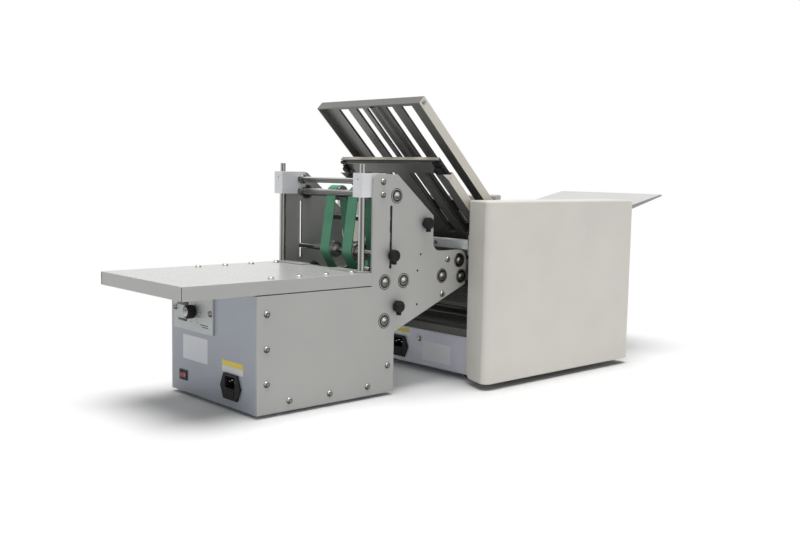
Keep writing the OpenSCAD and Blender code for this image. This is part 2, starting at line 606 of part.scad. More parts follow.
// ---------- folder: fold plates ----------
// two slotted skins with a paper gap, on a tray whose rails hang down on both sides
module fold_body(a0, a1, slot_a0, slot_a1, rail_a1) {
    rim = fold_w / 2 - rail_t;
    difference() {
        union() {
            box_at([a0, -fold_w / 2, skin_high], [a1, fold_w / 2, skin_high + skin_t]);
            box_at([a0, -rim - e, skin_low - skin_t], [a1, rim + e, skin_low]);
        }
        for (p = slots) box_at([slot_a0, p[0], -10], [slot_a1, p[1], 10]);
    }
    both_sides() box_at([a0 + rail_clear, rim, skin_high], [rail_a1, fold_w / 2, rail_low]);
}
module fold_plate_long() color([0.2, 0.197, 0.187]) at_folder() on_plate() {
    fold_body(long_plate_down, long_plate_up, long_plate_down + 40, long_plate_up - 14, long_plate_up);
    box_at([long_plate_up - rail_t, -fold_w / 2, skin_high], [long_plate_up, fold_w / 2, rail_low]);
    translate([long_plate_down + 50, -5.3, skin_low]) intersection() {
        rotate([0, 90, 0]) cylinder(r = 8, h = long_plate_up - long_plate_down - 58);
        translate([-1, -10, -0.2]) cube([400, 20, 10]);
    }
}
module fold_plate_short() color([0.2, 0.197, 0.187]) at_folder() on_plate(0, line_short) difference() {
    a1 = short_plate_up;
    union() {
        fold_body(short_plate_down, a1, short_plate_down + 20, a1 - 11, short_rail_up);
        box_at([a1 - rail_t, -fold_w / 2, skin_high], [a1, fold_w / 2, skin_low + 2]);
    }
    both_sides() box_at([short_rail_up, short_top_half, -10], [a1 + 1, fold_w, 30]);
}
module lower_plate(a, b0, b1) on_plate(a, 0) {
    edge = rail_h / 2 - 2;
    end_b = b1 - 8;
    skin = gap_half + skin_t;
    for (s = [-1, 1]) box_at([s > 0 ? gap_half : -skin, -fold_w / 2 + 5, b0],
        [s > 0 ? skin : -gap_half, fold_w / 2 - 5, end_b + e]);
    both_sides() box_at([-edge, fold_w / 2 - 11, b0], [edge, fold_w / 2, end_b + e]);
    box_at([-edge, -fold_w / 2, end_b], [edge, fold_w / 2, b1]);
    for (b = [b0 + 9 : 13 : end_b - 8])
        box_at([skin - e, -fold_w / 2 + 10, b], [skin + 2.2, fold_w / 2 - 10, b + 4]);
}
module lower_fold_plates() color([0.2, 0.197, 0.187]) at_folder() {
    lower_plate(nip_a + roller_pitch / 2, 1.5 * roller_pitch + roller_clear, lower_reach_1);
    lower_plate(nip_a + 1.5 * roller_pitch, 2.5 * roller_pitch + roller_clear, lower_reach_2);
}
// a bar across the plate with fingers that reach into the paper gap
module stop_bar(a, b0, tip) translate([a, 0, 0]) {
    box_at([-12, -119, b0], [13, 119, b0 + 2]);
    for (y = finger_y) box_at([-4, y - 1.2, min(tip, b0 + e)], [4, y + 1.2, max(tip, b0 + e)]);
}
module stop_long() color([0.2, 0.197, 0.187]) at_folder() on_plate() {
    b0 = skin_high - seat - 2;
    stop_bar(stop_long_a, b0, gap_mid + gap_half);
    box_at([stop_long_a + 11, -119, -12], [stop_long_a + 13, 119, b0 + e]);
}
stop_b = skin_low + seat;
stop_knob_y = 110;
stop_end_t = 4.5;                  // bar and end holder together
module stop_short() color([0.2, 0.197, 0.187]) at_folder() on_plate(0, line_short) {
    difference() {
        union() {
            stop_bar(stop_short_a, stop_b, gap_mid - gap_half);
            both_sides() box_at([stop_short_a - 12, 103, stop_b + 2 - e],
                [stop_short_a + 13, 119, stop_b + stop_end_t]);
        }
        both_sides() {
            translate([stop_short_a, stop_knob_y, 0]) cylinder(r = m4_r + run, h = 20);
            for (a = [-9, -2, 5]) box_at([stop_short_a + a, 116, 0], [stop_short_a + a + 3.5, 120, 20]);
        }
    }
    box_at([stop_short_a + 9.5, -102, stop_b + 2 - e], [stop_short_a + 12, 102, stop_b + 5]);
}
module stop_knob() translate([stop_short_a, stop_knob_y, line_short + stop_b]) {
    cylinder(r = m4_r, h = stop_end_t + 1);
    translate([0, 0, stop_end_t + seat]) cylinder(r = 6.5, h = 6.5);
}
module stop_knob_rear() color([0.1, 0.1, 0.1]) at_folder() on_plate() stop_knob();
module stop_knob_front() color([0.1, 0.1, 0.1]) at_folder() mirror([0, 1, 0]) on_plate() stop_knob();

// ---------- folder: rollers ----------
gear_m = roller_pitch / gear_teeth;
// one tooth more than half a pitch behind the other across the mesh direction
function mesh_phase(phase, dir) = 2 * dir + 180 - phase + 180 / gear_teeth;
function dir_of(p, q) = atan2(q[1] - p[1], q[0] - p[0]);
phase_2 = 0;
phase_1 = mesh_phase(phase_2, dir_of(roller_at[1], roller_at[0]));
phase_3 = mesh_phase(phase_2, dir_of(roller_at[1], roller_at[2]));
phase_4 = mesh_phase(phase_3, dir_of(roller_at[2], roller_at[3]));
phase_5 = mesh_phase(phase_4, dir_of(roller_at[3], roller_at[4]));
phase_6 = mesh_phase(phase_5, dir_of(roller_at[4], roller_at[5]));
gear_phase = [phase_1, phase_2, phase_3, phase_4, phase_5, phase_6];
function tooth(r, w, a) = [r * cos(a) - w * sin(a), r * sin(a) + w * cos(a)];
module gear_shape(phase) {
    pitch_r = roller_pitch / 2;
    tip = pitch_r + 0.75 * gear_m;
    root = pitch_r - 1.2 * gear_m;
    polygon([for (i = [0 : gear_teeth - 1]) let (a = phase + i * 360 / gear_teeth)
        each [tooth(root, -0.95 * gear_m, a), tooth(pitch_r, -0.68 * gear_m, a),
            tooth(tip, -0.36 * gear_m, a), tooth(tip, 0.36 * gear_m, a),
            tooth(pitch_r, 0.68 * gear_m, a), tooth(root, 0.95 * gear_m, a)]]);
}
module fold_roller(i) color([0.32, 0.32, 0.33]) at_folder() {
    p = roller_at[i];
    bar_y(p, roller_r, -roller_l / 2, roller_l / 2);
    bar_y(p, roller_journal_r, -frame_out - gear_w - 5, i == 1 ? frame_out + 46 : frame_out);
    side_slab(-frame_out - gear_w - 2, gear_w) translate(p) gear_shape(gear_phase[i]);
}
module feed_roller() color([0.3, 0.3, 0.3]) at_folder() {
    bar_y(feed_at, roller_journal_r, -frame_out - 6, frame_out + 6);
    for (y = [-45, 0, 45]) bar_y(feed_at, feed_r, y - 14, y + 14);
}
module folder_motor() color([0.25, 0.26, 0.28]) at_folder() {
    p = roller_at[1];
    difference() {
        box_at([p[0] - motor_case[0] / 2, frame_out, p[1] - motor_case[2] / 2],
            [p[0] + motor_case[0] / 2, frame_out + motor_case[1], p[1] + motor_case[2] / 2]);
        bar_y(p, roller_journal_r + run, frame_out - 1, frame_out + 60);
        for (i = [0, 2, 3]) bar_y(roller_at[i], roller_journal_r + 1, frame_out - 1, frame_out + 1);
    }
    bar_x([frame_out + motor_case[1] / 2, p[1]], motor_case[1] / 2 - 2,
        p[0] + motor_case[0] / 2, p[0] + motor_case[0] / 2 + 100);
}

// ---------- folder: delivery and feed ----------
module delivery_bar() color([0.62, 0.62, 0.62]) at_folder()
    box_at([delivery_x[0], -frame_in, delivery_z[0]], [delivery_x[1], frame_in, delivery_z[1]]);
module feed_table() color([0.62, 0.62, 0.612]) at_folder() on_feed() {
    box_at([0, -feed_w_half, -sheet_t], [feed_l, feed_w_half, 0]);
    both_sides() side_slab(feed_w_half - sheet_t, sheet_t)
        polygon([[0, -10], [140, -10], [feed_l, -3.5], [feed_l, -sheet_t + e], [0, -sheet_t + e]]);
    box_at([feed_l - sheet_t, -feed_w_half + sheet_t - e, -3.5],
        [feed_l, feed_w_half - sheet_t + e, -sheet_t + e]);
    box_at([20, -frame_in + seat, -26], [36, frame_in - seat, -10]);
}
module feed_separator() color([0.35, 0.33, 0.32]) at_folder() {
    chute_low = roller_at[0] + [18, -18];
    side_slab(-frame_in + seat, frame_w - 2 * seat) polygon([chute_low, chute_low + [0, -3],
        table_low + [-1, -4], table_low + [-1, -1]]);
    on_feed() box_at([-1, -frame_in + seat, -26], [15, frame_in - seat, -11]);
    on_feed() box_at([2, -20, -11], [14, 20, -sheet_t - seat]);
}
module side_guide() on_feed() {
    box_at([28, 104, seat], [98, 118, seat + 1.5]);
    box_at([28, 104, seat + 1.5], [98, 105.5, 20]);
}
module side_guide_rear() color([0.6, 0.6, 0.6]) at_folder() side_guide();
module side_guide_front() color([0.6, 0.6, 0.6]) at_folder() mirror([0, 1, 0]) side_guide();
module folder_inlet() color([0.12, 0.12, 0.13]) at_folder() mains_inlet(base_inlet_at);
module folder_screws() color([0.55, 0.54, 0.5]) at_folder() {
    translate([0, base_screw_at[0], base_screw_at[1]]) rotate([0, -90, 0]) button_screw(8);
    translate([delivery_x[0], -50, (delivery_z[0] + delivery_z[1]) / 2]) rotate([0, -90, 0])
        cylinder(r = 3, h = 1.6);
    on_plate(long_plate_up - 6, 6) both_sides() translate([0, fold_w / 2, 0]) rotate([-90, 0, 0])
        cylinder(r = 3, h = 1.6);
}

stacker_front_plate();
stacker_rear_plate();
stacker_end_panel();
stacker_pan();
stacker_table();
stacker_screws();
stacker_feet();
corner_blocks();
guide_posts();
cross_rods();
stacker_bearings();
lift_belts();
transfer_belts();
stacker_motor();
speed_controller();
stacker_inlet();
switch_bezel();
top_shaft();
idler_axle();
idler_pulleys();
exit_shaft();
lift_shaft();
low_shaft();
transfer_shaft();
infeed_roller_upper();
infeed_roller_lower();
idler_knob();
lower_rod_knob();
upper_rod_knob();
speed_knob();
switch_rocker();
base_floor();
base_end_panel();
base_feet();
side_frame_front();
side_frame_rear();
front_cover();
rear_cover();
fold_plate_long();
fold_plate_short();
lower_fold_plates();
delivery_bar();
feed_table();
feed_separator();
folder_motor();
folder_inlet();
folder_screws();
fold_roller(0);  // fold_roller_1
fold_roller(1);  // fold_roller_2
fold_roller(2);  // fold_roller_3
fold_roller(3);  // fold_roller_4
fold_roller(4);  // fold_roller_5
fold_roller(5);  // fold_roller_6
feed_roller();
stop_long();
stop_short();
stop_knob_front();
stop_knob_rear();
side_guide_front();
side_guide_rear();
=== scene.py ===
"""The looks of a desktop paper folder with its belt stacker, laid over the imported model."""
import json
import math

import bmesh
import bpy
from mathutils import Matrix, Vector

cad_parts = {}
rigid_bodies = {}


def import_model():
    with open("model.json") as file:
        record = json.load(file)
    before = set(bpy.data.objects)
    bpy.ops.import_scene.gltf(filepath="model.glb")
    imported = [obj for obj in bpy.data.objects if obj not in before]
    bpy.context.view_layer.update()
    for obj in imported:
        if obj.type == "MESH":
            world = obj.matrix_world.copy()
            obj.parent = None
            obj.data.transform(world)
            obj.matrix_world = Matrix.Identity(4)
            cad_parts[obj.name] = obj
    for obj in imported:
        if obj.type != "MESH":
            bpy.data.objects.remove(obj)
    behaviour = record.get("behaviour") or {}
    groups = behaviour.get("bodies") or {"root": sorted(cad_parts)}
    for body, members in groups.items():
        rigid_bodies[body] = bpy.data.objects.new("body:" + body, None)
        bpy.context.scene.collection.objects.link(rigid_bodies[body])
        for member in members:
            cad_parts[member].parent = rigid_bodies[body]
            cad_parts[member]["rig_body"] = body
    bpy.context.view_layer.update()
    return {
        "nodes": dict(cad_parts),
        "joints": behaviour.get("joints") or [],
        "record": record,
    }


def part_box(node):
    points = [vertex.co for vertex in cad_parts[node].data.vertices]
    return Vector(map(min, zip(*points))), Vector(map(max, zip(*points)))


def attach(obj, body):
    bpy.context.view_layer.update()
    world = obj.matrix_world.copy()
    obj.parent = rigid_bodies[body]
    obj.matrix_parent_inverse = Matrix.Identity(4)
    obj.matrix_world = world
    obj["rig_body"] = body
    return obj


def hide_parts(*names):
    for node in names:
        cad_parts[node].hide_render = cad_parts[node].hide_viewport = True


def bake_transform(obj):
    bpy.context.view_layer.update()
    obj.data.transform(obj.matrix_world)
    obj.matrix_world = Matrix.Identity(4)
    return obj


bl_info = {
    "name": "Paper folder and stacker",
    "version": (1, 0, 0),
    "blender": (4, 5, 0),
    "location": "3D View > Sidebar > Folder",
    "description": "Builds the finishes, fasteners, belts and controls of a paper folder and its stacker",
    "category": "Object",
}

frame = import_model()
NODES = frame["nodes"]
JOINT_AT = {j["child"]: Vector(j["pos_m"]) for j in frame["joints"] if "pos_m" in j}
SLOT_COLOUR = {m["slot"]: tuple(m["base_color"][:3]) for m in frame["record"]["materials"]}
STACKER_LOW, STACKER_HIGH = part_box("stacker_front_plate")
HALF_WIDTH = -STACKER_LOW.y
PANEL_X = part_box("stacker_end_panel")[0].x
BOX_Z = STACKER_LOW.z
BASE_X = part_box("base_end_panel")[0].x
SLOPE = math.radians(44.5)
MM = 0.001
X, Y, Z = Vector((1, 0, 0)), Vector((0, 1, 0)), Vector((0, 0, 1))
UP_PLATE = Vector((-math.cos(SLOPE), 0, math.sin(SLOPE)))
ACROSS_PLATE = Vector((-math.sin(SLOPE), 0, -math.cos(SLOPE)))
PLATE_TOP = Vector((BASE_X + 41 * MM, 0, 291 * MM))
SIGHT_HOLES = ((296, 204), (290, 179.5), (290, 128))  # millimetres from the end panel and the box's floor
# Painted reflection bands: how light a round's colour is painted where its surface looks down or forward (0)
# up to where it looks up or back (1).
ROUND_PAINTED_REFLECTIONS = ((0, 0.16), (0.2, 0.5), (0.34, 0.09), (0.5, 0.22),
                 (0.62, 0.26), (0.72, 0.08), (0.84, 0.85), (1, 1))
POST_PAINTED_REFLECTIONS = ((0, 0.6), (0.08, 0.35), (0.15, 0.08), (0.26, 0.3),
                (0.48, 0.75), (0.66, 0.45), (0.82, 0.1), (1, 0.4))
# Painted highlight and shade: shaft ends and screw heads are painted bright where they look up and dark where
# they look down.
END_SHADE = ((0, 0.05), (0.3, 0.1), (0.46, 0.3), (0.62, 0.9), (1, 1))
SCREW_SHADE = ((0, 0.08), (0.35, 0.22), (0.5, 0.5), (0.66, 1), (1, 1))
SHAFT_DOME = 3 * MM
SHAFT_END = 4 * MM  # how far inside the side plates' outer faces a shaft's end begins
BELT_AT = (-27 * MM, 27 * MM)
LIFT_PULLEY, TOP_PULLEY, IDLER_PULLEY = 14 * MM, 11 * MM, 13 * MM
ROLLER_HALF = 118.5 * MM  # half the rubber's length on a fold roller
GAP_AT, GAP_HALF = 22.5 * MM, 8.4 * MM  # middle and half width of a gap between the feed roller's tyres
FEED_HALF = 60 * MM  # the feed roller's tyres all lie within this of its middle
STOP_HALF = 103.05 * MM  # half the short plate's stop without its end holders
SHORT_FLANGE = 124 * MM  # how far up the slope the short plate's end flange stands
LUG_OUTLINE = ((88, 41), (95, 39.5), (99, 43), (107.5, 51.5), (97, 49.5), (88, 48))
LUG_SCREW = (93 * MM, 44 * MM)
LABELS = (  # name, y from and to, z from and to above the unit's floor, finish, thickness
    ("stacker_label", 11.6, 79.1, 50, 86, "label_white", 0.12),
    ("stacker_sticker", -79, -27, 48, 57, "label_white", 0.12),
    ("stacker_sticker_top", -79, -27, 56.8, 64.5, "label_yellow", 0.14),
    ("folder_label", -78, -12, 19.5, 51, "label_bright", 0.12),
    ("folder_sticker", 20, 74, 54.4, 60, "label_bright", 0.12),
    ("folder_sticker_top", 20, 74, 59.6, 67, "label_yellow", 0.14),
)
CAMERA_LENS, CAMERA_SENSOR = 43.42, 36
CAMERA_AT = (-1.1258, -1.1638, 0.3334)
CAMERA_RIGHT = Vector((0.73714, -0.67550, 0.01893))
CAMERA_DOWN = Vector((-0.05276, -0.08546, -0.99497))
CAMERA_FORWARD = Vector((0.67370, 0.73241, -0.09863))
finish = {}


# ---------- settings a user would change ----------
def colour(name, text, default):
    return bpy.props.FloatVectorProperty(name=name, description=text, subtype="COLOR", size=3,
                                         min=0, max=1, default=default)


def length(name, text, default):
    return bpy.props.FloatProperty(name=name, description=text, subtype="DISTANCE", unit="LENGTH",
                                   default=default)


def brightness(name, text, default):
    return bpy.props.FloatProperty(name=name, description=text, default=default, min=0)


class FOLDER_PG_finishes(bpy.types.PropertyGroup):
    plate: colour("Side plates", "Paint of the stacker's side plates", SLOT_COLOUR["plate_paint"])
    panel: colour("End panel", "Paint of the stacker's end panel and floor", SLOT_COLOUR["panel_paint"])
    table: colour("Table", "Paint of the collecting table", SLOT_COLOUR["table_paint"])
    cover: colour("Covers", "Paint of the folder's two covers", SLOT_COLOUR["cover_paint"])
    base: colour("Base", "Paint of the folder's base", SLOT_COLOUR["base_paint"])
    feed: colour("Feed table", "Paint of the feed table", SLOT_COLOUR["feed_paint"])
    fold_steel: colour("Fold plates", "Brushed sheet of the fold plates", SLOT_COLOUR["fold_steel"])
    rail: colour("Rails", "Bright side rails of the fold plates", (0.68, 0.65, 0.58))
    belt: colour("Belts", "Coating of the flat belts", SLOT_COLOUR["belt_green"])


class FOLDER_PG_details(bpy.types.PropertyGroup):
    edge_round: length("Edge rounding", "Width of the rounding on sheet metal edges", 0.5 * MM)
    cover_round: length("Cover rounding", "Width of the rounding on the covers' top edges", 3.4 * MM)
    screw_radius: length("Screw head", "Radius of the button heads", 4.7 * MM)
    screw_height: length("Screw height", "Height of the button heads", 2.6 * MM)
    belt_thickness: length("Belt thickness", "Thickness of the lift belts", 1.5 * MM)
    belt_width: length("Belt width", "Width of each lift belt", 22 * MM)
    flutes: bpy.props.IntProperty(name="Flutes", description="Grooves round a clamp knob",
                                  default=14, min=6, max=30)


class FOLDER_PG_stage(bpy.types.PropertyGroup):
    floor: colour("Floor", "Colour of the plain floor", (0.99, 0.99, 0.99))
    sky: brightness("Sky light", "Strength of the even light", 0.2)
    key: brightness("Top light", "Strength of the soft sun above", 2.5)
    fill: brightness("Front light", "Power of the soft light at the camera's side", 4)


# ---------- finishes ----------
def shader(name, roughness, metallic=0.0, coat=0.0):
    mat = bpy.data.materials.new(name)
    mat.use_nodes = True
    bsdf = mat.node_tree.nodes["Principled BSDF"]
    bsdf.inputs["Roughness"].default_value = roughness
    bsdf.inputs["Metallic"].default_value = metallic
    bsdf.inputs["Coat Weight"].default_value = coat
    return mat, mat.node_tree, bsdf


def add(tree, kind, **inputs):
    """A shader node with its sockets set, an underscore standing for a space."""
    node = tree.nodes.new("ShaderNode" + kind)
    for name, value in inputs.items():
        node.inputs[name.replace("_", " ")].default_value = value
    return node


def noise(tree, scale, stretch=(1, 1, 1), turn=0.0, detail=3.0):
    """Noise on Object coordinates, turned about Y before it is stretched."""
    coord = add(tree, "TexCoord")
    turned = add(tree, "Mapping", Rotation=(0, turn, 0))
    stretched = add(tree, "Mapping", Scale=stretch)
    tex = add(tree, "TexNoise", Scale=scale, Detail=detail)
    tree.links.new(coord.outputs["Object"], turned.inputs["Vector"])
    tree.links.new(turned.outputs["Vector"], stretched.inputs["Vector"])
    tree.links.new(stretched.outputs["Vector"], tex.inputs["Vector"])
    return tex.outputs["Fac"]


def ramp(tree, factor, *stops):
    """Colours along a factor, each stop a place and a colour."""
    node = add(tree, "ValToRGB")
    marks = node.color_ramp.elements
    while len(marks) < len(stops):
        marks.new(0.5)
    for mark, (at, rgb) in zip(marks, stops):
        mark.position = at
        mark.color = (*rgb, 1)
    tree.links.new(factor, node.inputs["Fac"])
    return node.outputs["Color"]


def multiply(tree, factor, a, b):
    mix = tree.nodes.new("ShaderNodeMix")
    mix.data_type = "RGBA"
    mix.blend_type = "MULTIPLY"
    mix.inputs["Factor"].default_value = factor
    tree.links.new(a, mix.inputs["A"])
    tree.links.new(b, mix.inputs["B"])
    return mix.outputs["Result"]


def tinted(rgb, k):
    return tuple(min(1.0, c * k) for c in rgb)


def vary(tree, bsdf, socket, factor, value, low, high):
    """Drives a socket between two multiples of one colour or level."""
    rgb = value if isinstance(value, tuple) else (value,) * 3
    tree.links.new(ramp(tree, factor, (0.3, tinted(rgb, low)), (0.7, tinted(rgb, high))), bsdf.inputs[socket])


def relief(tree, bsdf, height, strength, distance):
    bump = add(tree, "Bump", Strength=strength, Distance=distance)
    tree.links.new(height, bump.inputs["Height"])
    tree.links.new(bump.outputs["Normal"], bsdf.inputs["Normal"])


def paint(name, rgb, roughness=0.42, peel=0.25):
    """Powder coat: a faint mottle, and the coat's fine orange peel."""
    mat, tree, bsdf = shader(name, roughness, coat=0.12)
    vary(tree, bsdf, "Base Color", noise(tree, 14), tuple(rgb), 0.975, 1.02)
    vary(tree, bsdf, "Roughness", noise(tree, 420), roughness, 0.85, 1.15)
    relief(tree, bsdf, noise(tree, 950, detail=2), peel, 0.06 * MM)
    return mat


def brushed(name, rgb, stretch, roughness=0.3, turn=0.0, contrast=0.16, metallic=1.0):
    """Sheet or bar with the fine lines that grinding leaves along one direction."""
    mat, tree, bsdf = shader(name, roughness, metallic)
    lines = noise(tree, 1.0, stretch, turn, detail=6)
    cloud = noise(tree, 22)
    base = ramp(tree, lines, (0.25, tinted(rgb, 1 - contrast)), (0.75, tinted(rgb, 1 + contrast)))
    clouds = ramp(tree, cloud, (0.3, (0.82,) * 3), (0.7, (1.0,) * 3))
    tree.links.new(multiply(tree, 0.5, base, clouds), bsdf.inputs["Base Color"])
    vary(tree, bsdf, "Roughness", lines, roughness, 0.7, 1.5)
    relief(tree, bsdf, lines, 0.12, 0.02 * MM)
    return mat


def striped(name, rgb, stretch, roughness, side, painted_bands, contrast=0.1):
    """Ground bar: brushed lines, and the light and dark bands of a polished round painted into its colour by
    which way the surface looks: painted reflections.
    """
    mat = brushed(name, rgb, stretch, roughness, contrast=contrast)
    tree = mat.node_tree
    bsdf = tree.nodes["Principled BSDF"]
    coord = add(tree, "TexCoord")
    split = add(tree, "SeparateXYZ")
    spread = add(tree, "MapRange", From_Min=-1)
    tree.links.new(coord.outputs["Normal"], split.inputs["Vector"])
    tree.links.new(split.outputs[side], spread.inputs["Value"])
    bands = ramp(tree, spread.outputs["Result"], *((at, (level,) * 3) for at, level in painted_bands))
    under = bsdf.inputs["Base Color"].links[0].from_socket
    tree.links.new(multiply(tree, 1, under, bands), bsdf.inputs["Base Color"])
    return mat


def moulded(name, rgb, roughness=0.42, grain=900.0, depth=0.18, gloss=0.5):
    """Moulded plastic or rubber with a fine eroded grain."""
    mat, tree, bsdf = shader(name, roughness)
    bsdf.inputs["Specular IOR Level"].default_value = gloss
    vary(tree, bsdf, "Base Color", noise(tree, 60), tuple(rgb), 0.85, 1.15)
    vary(tree, bsdf, "Roughness", noise(tree, grain), roughness, 0.8, 1.25)
    relief(tree, bsdf, noise(tree, grain, detail=4), depth, 0.05 * MM)
    return mat


def belt_cloth(name, rgb):
    """Coated fabric belt: a fine weave under a matt green skin."""
    mat, tree, bsdf = shader(name, 0.55)
    vary(tree, bsdf, "Base Color", noise(tree, 40), tuple(rgb), 0.9, 1.1)
    weave = add(tree, "TexWave", Scale=420, Distortion=1.5)
    weave.bands_direction = "Y"
    coord = add(tree, "TexCoord")
    tree.links.new(coord.outputs["Object"], weave.inputs["Vector"])
    relief(tree, bsdf, weave.outputs["Fac"], 0.2, 0.05 * MM)
    return mat


def make_finishes(tint):
    slot = SLOT_COLOUR
    along_slope = dict(stretch=(14, 1500, 1500), turn=SLOPE)
    finish.update(
        plate_paint=paint("plate paint", tint.plate),
        panel_paint=paint("panel paint", tint.panel, 0.36),
        table_paint=paint("table paint", tint.table, 0.3, 0.04),
        cover_paint=paint("cover paint", tint.cover, 0.5, 0.35),
        base_paint=paint("base paint", tint.base, 0.34),
        feed_paint=paint("feed paint", tint.feed, 0.4, 0.08),
        # A darker copy of the feed paint for every face of the feed table but its up faces: painted shade.
        feed_edge=paint("feed table painted shade", tinted(tint.feed, 0.55), 0.45),
        # Near-black painted shadow for gaps, slot walls and hole walls.
        seam=moulded("shaded seam", (0.035, 0.035, 0.035), 0.7),
        # The delivery bar's sheet is the plated steel tinted 1.6 times lighter: partly its own light metal,
        # partly painted light making up for the stacker's shade.
        bar_steel=brushed("delivery bar sheet", tinted(slot["frame_steel"], 1.6), (900, 30, 900), 0.42,
                          contrast=0.06, metallic=0.15),
        fold_steel=brushed("fold plate steel", tint.fold_steel, roughness=0.36, metallic=0.55, **along_slope),
        rail=brushed("bright rail steel", tint.rail, roughness=0.42, contrast=0.06, metallic=0.3,
                     **along_slope),
        frame_steel=brushed("plated steel", slot["frame_steel"], (30, 900, 900), 0.34),
        # Shafts, shaft ends and posts carry light and dark bands painted by which way each surface looks:
        # painted reflections and highlights.
        shaft_steel=striped("ground steel", slot["shaft_steel"], (900, 40, 900), 0.2, "Z", ROUND_PAINTED_REFLECTIONS),
        shaft_end=striped("turned shaft end with painted highlight and shade", slot["shaft_steel"], (900, 900, 900), 0.2, "Z", END_SHADE),
        post_steel=striped("drawn steel with painted reflections", slot["shaft_steel"], (700, 700, 20), 0.22, "Y", POST_PAINTED_REFLECTIONS),
        bearing_steel=brushed("bearing steel", (0.3, 0.295, 0.28), (1200, 1200, 1200), 0.2, contrast=0.08),
        pulley_steel=brushed("turned pulley steel", (0.46, 0.45, 0.43), (1200, 60, 1200), 0.24, contrast=0.14,
                             metallic=0.85),
        bearing_shield=brushed("bearing shield", (0.06, 0.058, 0.055), (900, 60, 900), 0.3),
        bearing_groove=moulded("bearing gap painted shadow", (0.018, 0.018, 0.018), 0.5, gloss=0.2),
        screw_nickel=striped("nickel plate with painted highlight and shade", slot["screw_nickel"], (700, 700, 700), 0.16, "Z", SCREW_SHADE),
        block=brushed("milled block", slot["block_aluminium"], (25, 25, 900), 0.5,
                      contrast=0.05, metallic=0.15),
        motor_metal=brushed("motor housing", slot["motor_metal"], (40, 900, 900), 0.45, metallic=0.7),
        belt_green=belt_cloth("belt green", tint.belt),
        roller_rubber=brushed("ground rubber", slot["roller_rubber"], (900, 30, 900), 0.6, metallic=0.0),
        feed_rubber=moulded("feed rubber", slot["feed_rubber"], 0.8, 500),
        foot_rubber=moulded("foot rubber", slot["foot_rubber"], 0.75, 500),
        black_plastic=moulded("black plastic", slot["black_plastic"], 0.32, gloss=0.1),
        control_face=brushed("control face", slot["control_face"], (900, 25, 900), 0.4, metallic=0.35),
        window=moulded("dark window", (0.012, 0.012, 0.014), 0.22, 300, 0.05),
        switch_red=moulded("switch red", slot["switch_red"], 0.24, 400, 0.05),
        print_black=moulded("black print", (0.02, 0.02, 0.02), 0.5),
        print_white=moulded("white print", (0.85, 0.85, 0.85), 0.5),
        label_white=paint("white label", (0.72, 0.73, 0.77), 0.36, 0.05),
        label_yellow=paint("yellow label", (0.85, 0.66, 0.04), 0.36, 0.05),
        label_bright=paint("bright label", (0.92, 0.93, 0.95), 0.36, 0.05),
    )


# ---------- making pieces ----------
def axis_turn(axis):
    """Turns local Z to the given direction."""
    return Z.rotation_difference(axis).to_matrix().to_4x4()


def place(at, axis):
    return Matrix.Translation(at) @ axis_turn(axis)


def scaled(*pairs):
    """A profile written in millimetres."""
    return [(r * MM, h * MM) for r, h in pairs]


def lathe(bm, profile, at, axis, steps=36):
    """Spins [(radius, height), ...] in metres about the axis through at."""
    turn = place(at, axis)
    verts = [bm.verts.new(turn @ Vector((r, 0, h))) for r, h in profile]
    edges = [bm.edges.new(pair) for pair in zip(verts, verts[1:])]
    bmesh.ops.spin(bm, geom=verts + edges, cent=at, axis=axis, angle=math.tau, steps=steps, use_merge=True)
    bmesh.ops.remove_doubles(bm, verts=bm.verts, dist=1e-6)


def block(bm, low, high, bevel=0.0):
    """A box between two corners with bevelled edges."""
    size = high - low
    at = Matrix.Translation((low + high) / 2) @ Matrix.Diagonal((*size, 1))
    cube = bmesh.ops.create_cube(bm, size=1, matrix=at)["verts"]
    if bevel:
        edges = list({e for v in cube for e in v.link_edges})
        bmesh.ops.bevel(bm, geom=edges, offset=bevel, segments=2, profile=0.5, affect="EDGES", material=-1)


def turned_block(bm, turn, low, high, bevel=0.0):
    """A bevelled box in a frame of its own."""
    part = bmesh.new()
    block(part, Vector(low), Vector(high), bevel)
    bmesh.ops.transform(part, matrix=turn, verts=part.verts)
    add_part(bm, part)


def add_part(bm, part):
    mesh = bpy.data.meshes.new("part")
    part.to_mesh(mesh)
    part.free()
    bm.from_mesh(mesh)
    bpy.data.meshes.remove(mesh)


def put(name, data):
    obj = bpy.data.objects.new(name, data)
    bpy.context.scene.collection.objects.link(obj)
    return obj


def points(geom):
    """The vertices of what an extrusion made."""
    return [g for g in geom if isinstance(g, bmesh.types.BMVert)]


def piece(name, bm, body, finishes, replaces=(), sharp=34.0, outward=True):
    """Turns a bmesh into a finished piece that rides on a body."""
    if outward:
        bmesh.ops.recalc_face_normals(bm, faces=bm.faces)
    mesh = bpy.data.meshes.new(name)
    bm.to_mesh(mesh)
    bm.free()
    obj = put(name, mesh)
    for key in finishes:
        mesh.materials.append(finish[key])
    mesh.polygons.foreach_set("use_smooth", [True] * len(mesh.polygons))
    mesh.set_sharp_from_angle(angle=math.radians(sharp))
    if body:
        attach(obj, body)
    if replaces:
        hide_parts(*replaces)
    return obj


def round_edges(obj, width, segments=2, angle=30.0):
    bevel = obj.modifiers.new("rounded edges", "BEVEL")
    bevel.width = width
    bevel.segments = segments
    bevel.limit_method = "ANGLE"
    bevel.angle_limit = math.radians(angle)
    bevel.use_clamp_overlap = False
    bevel.loop_slide = False
    bevel.miter_outer = "MITER_ARC"
    weighted = obj.modifiers.new("flat faces", "WEIGHTED_NORMAL")
    weighted.keep_sharp = True
    return obj


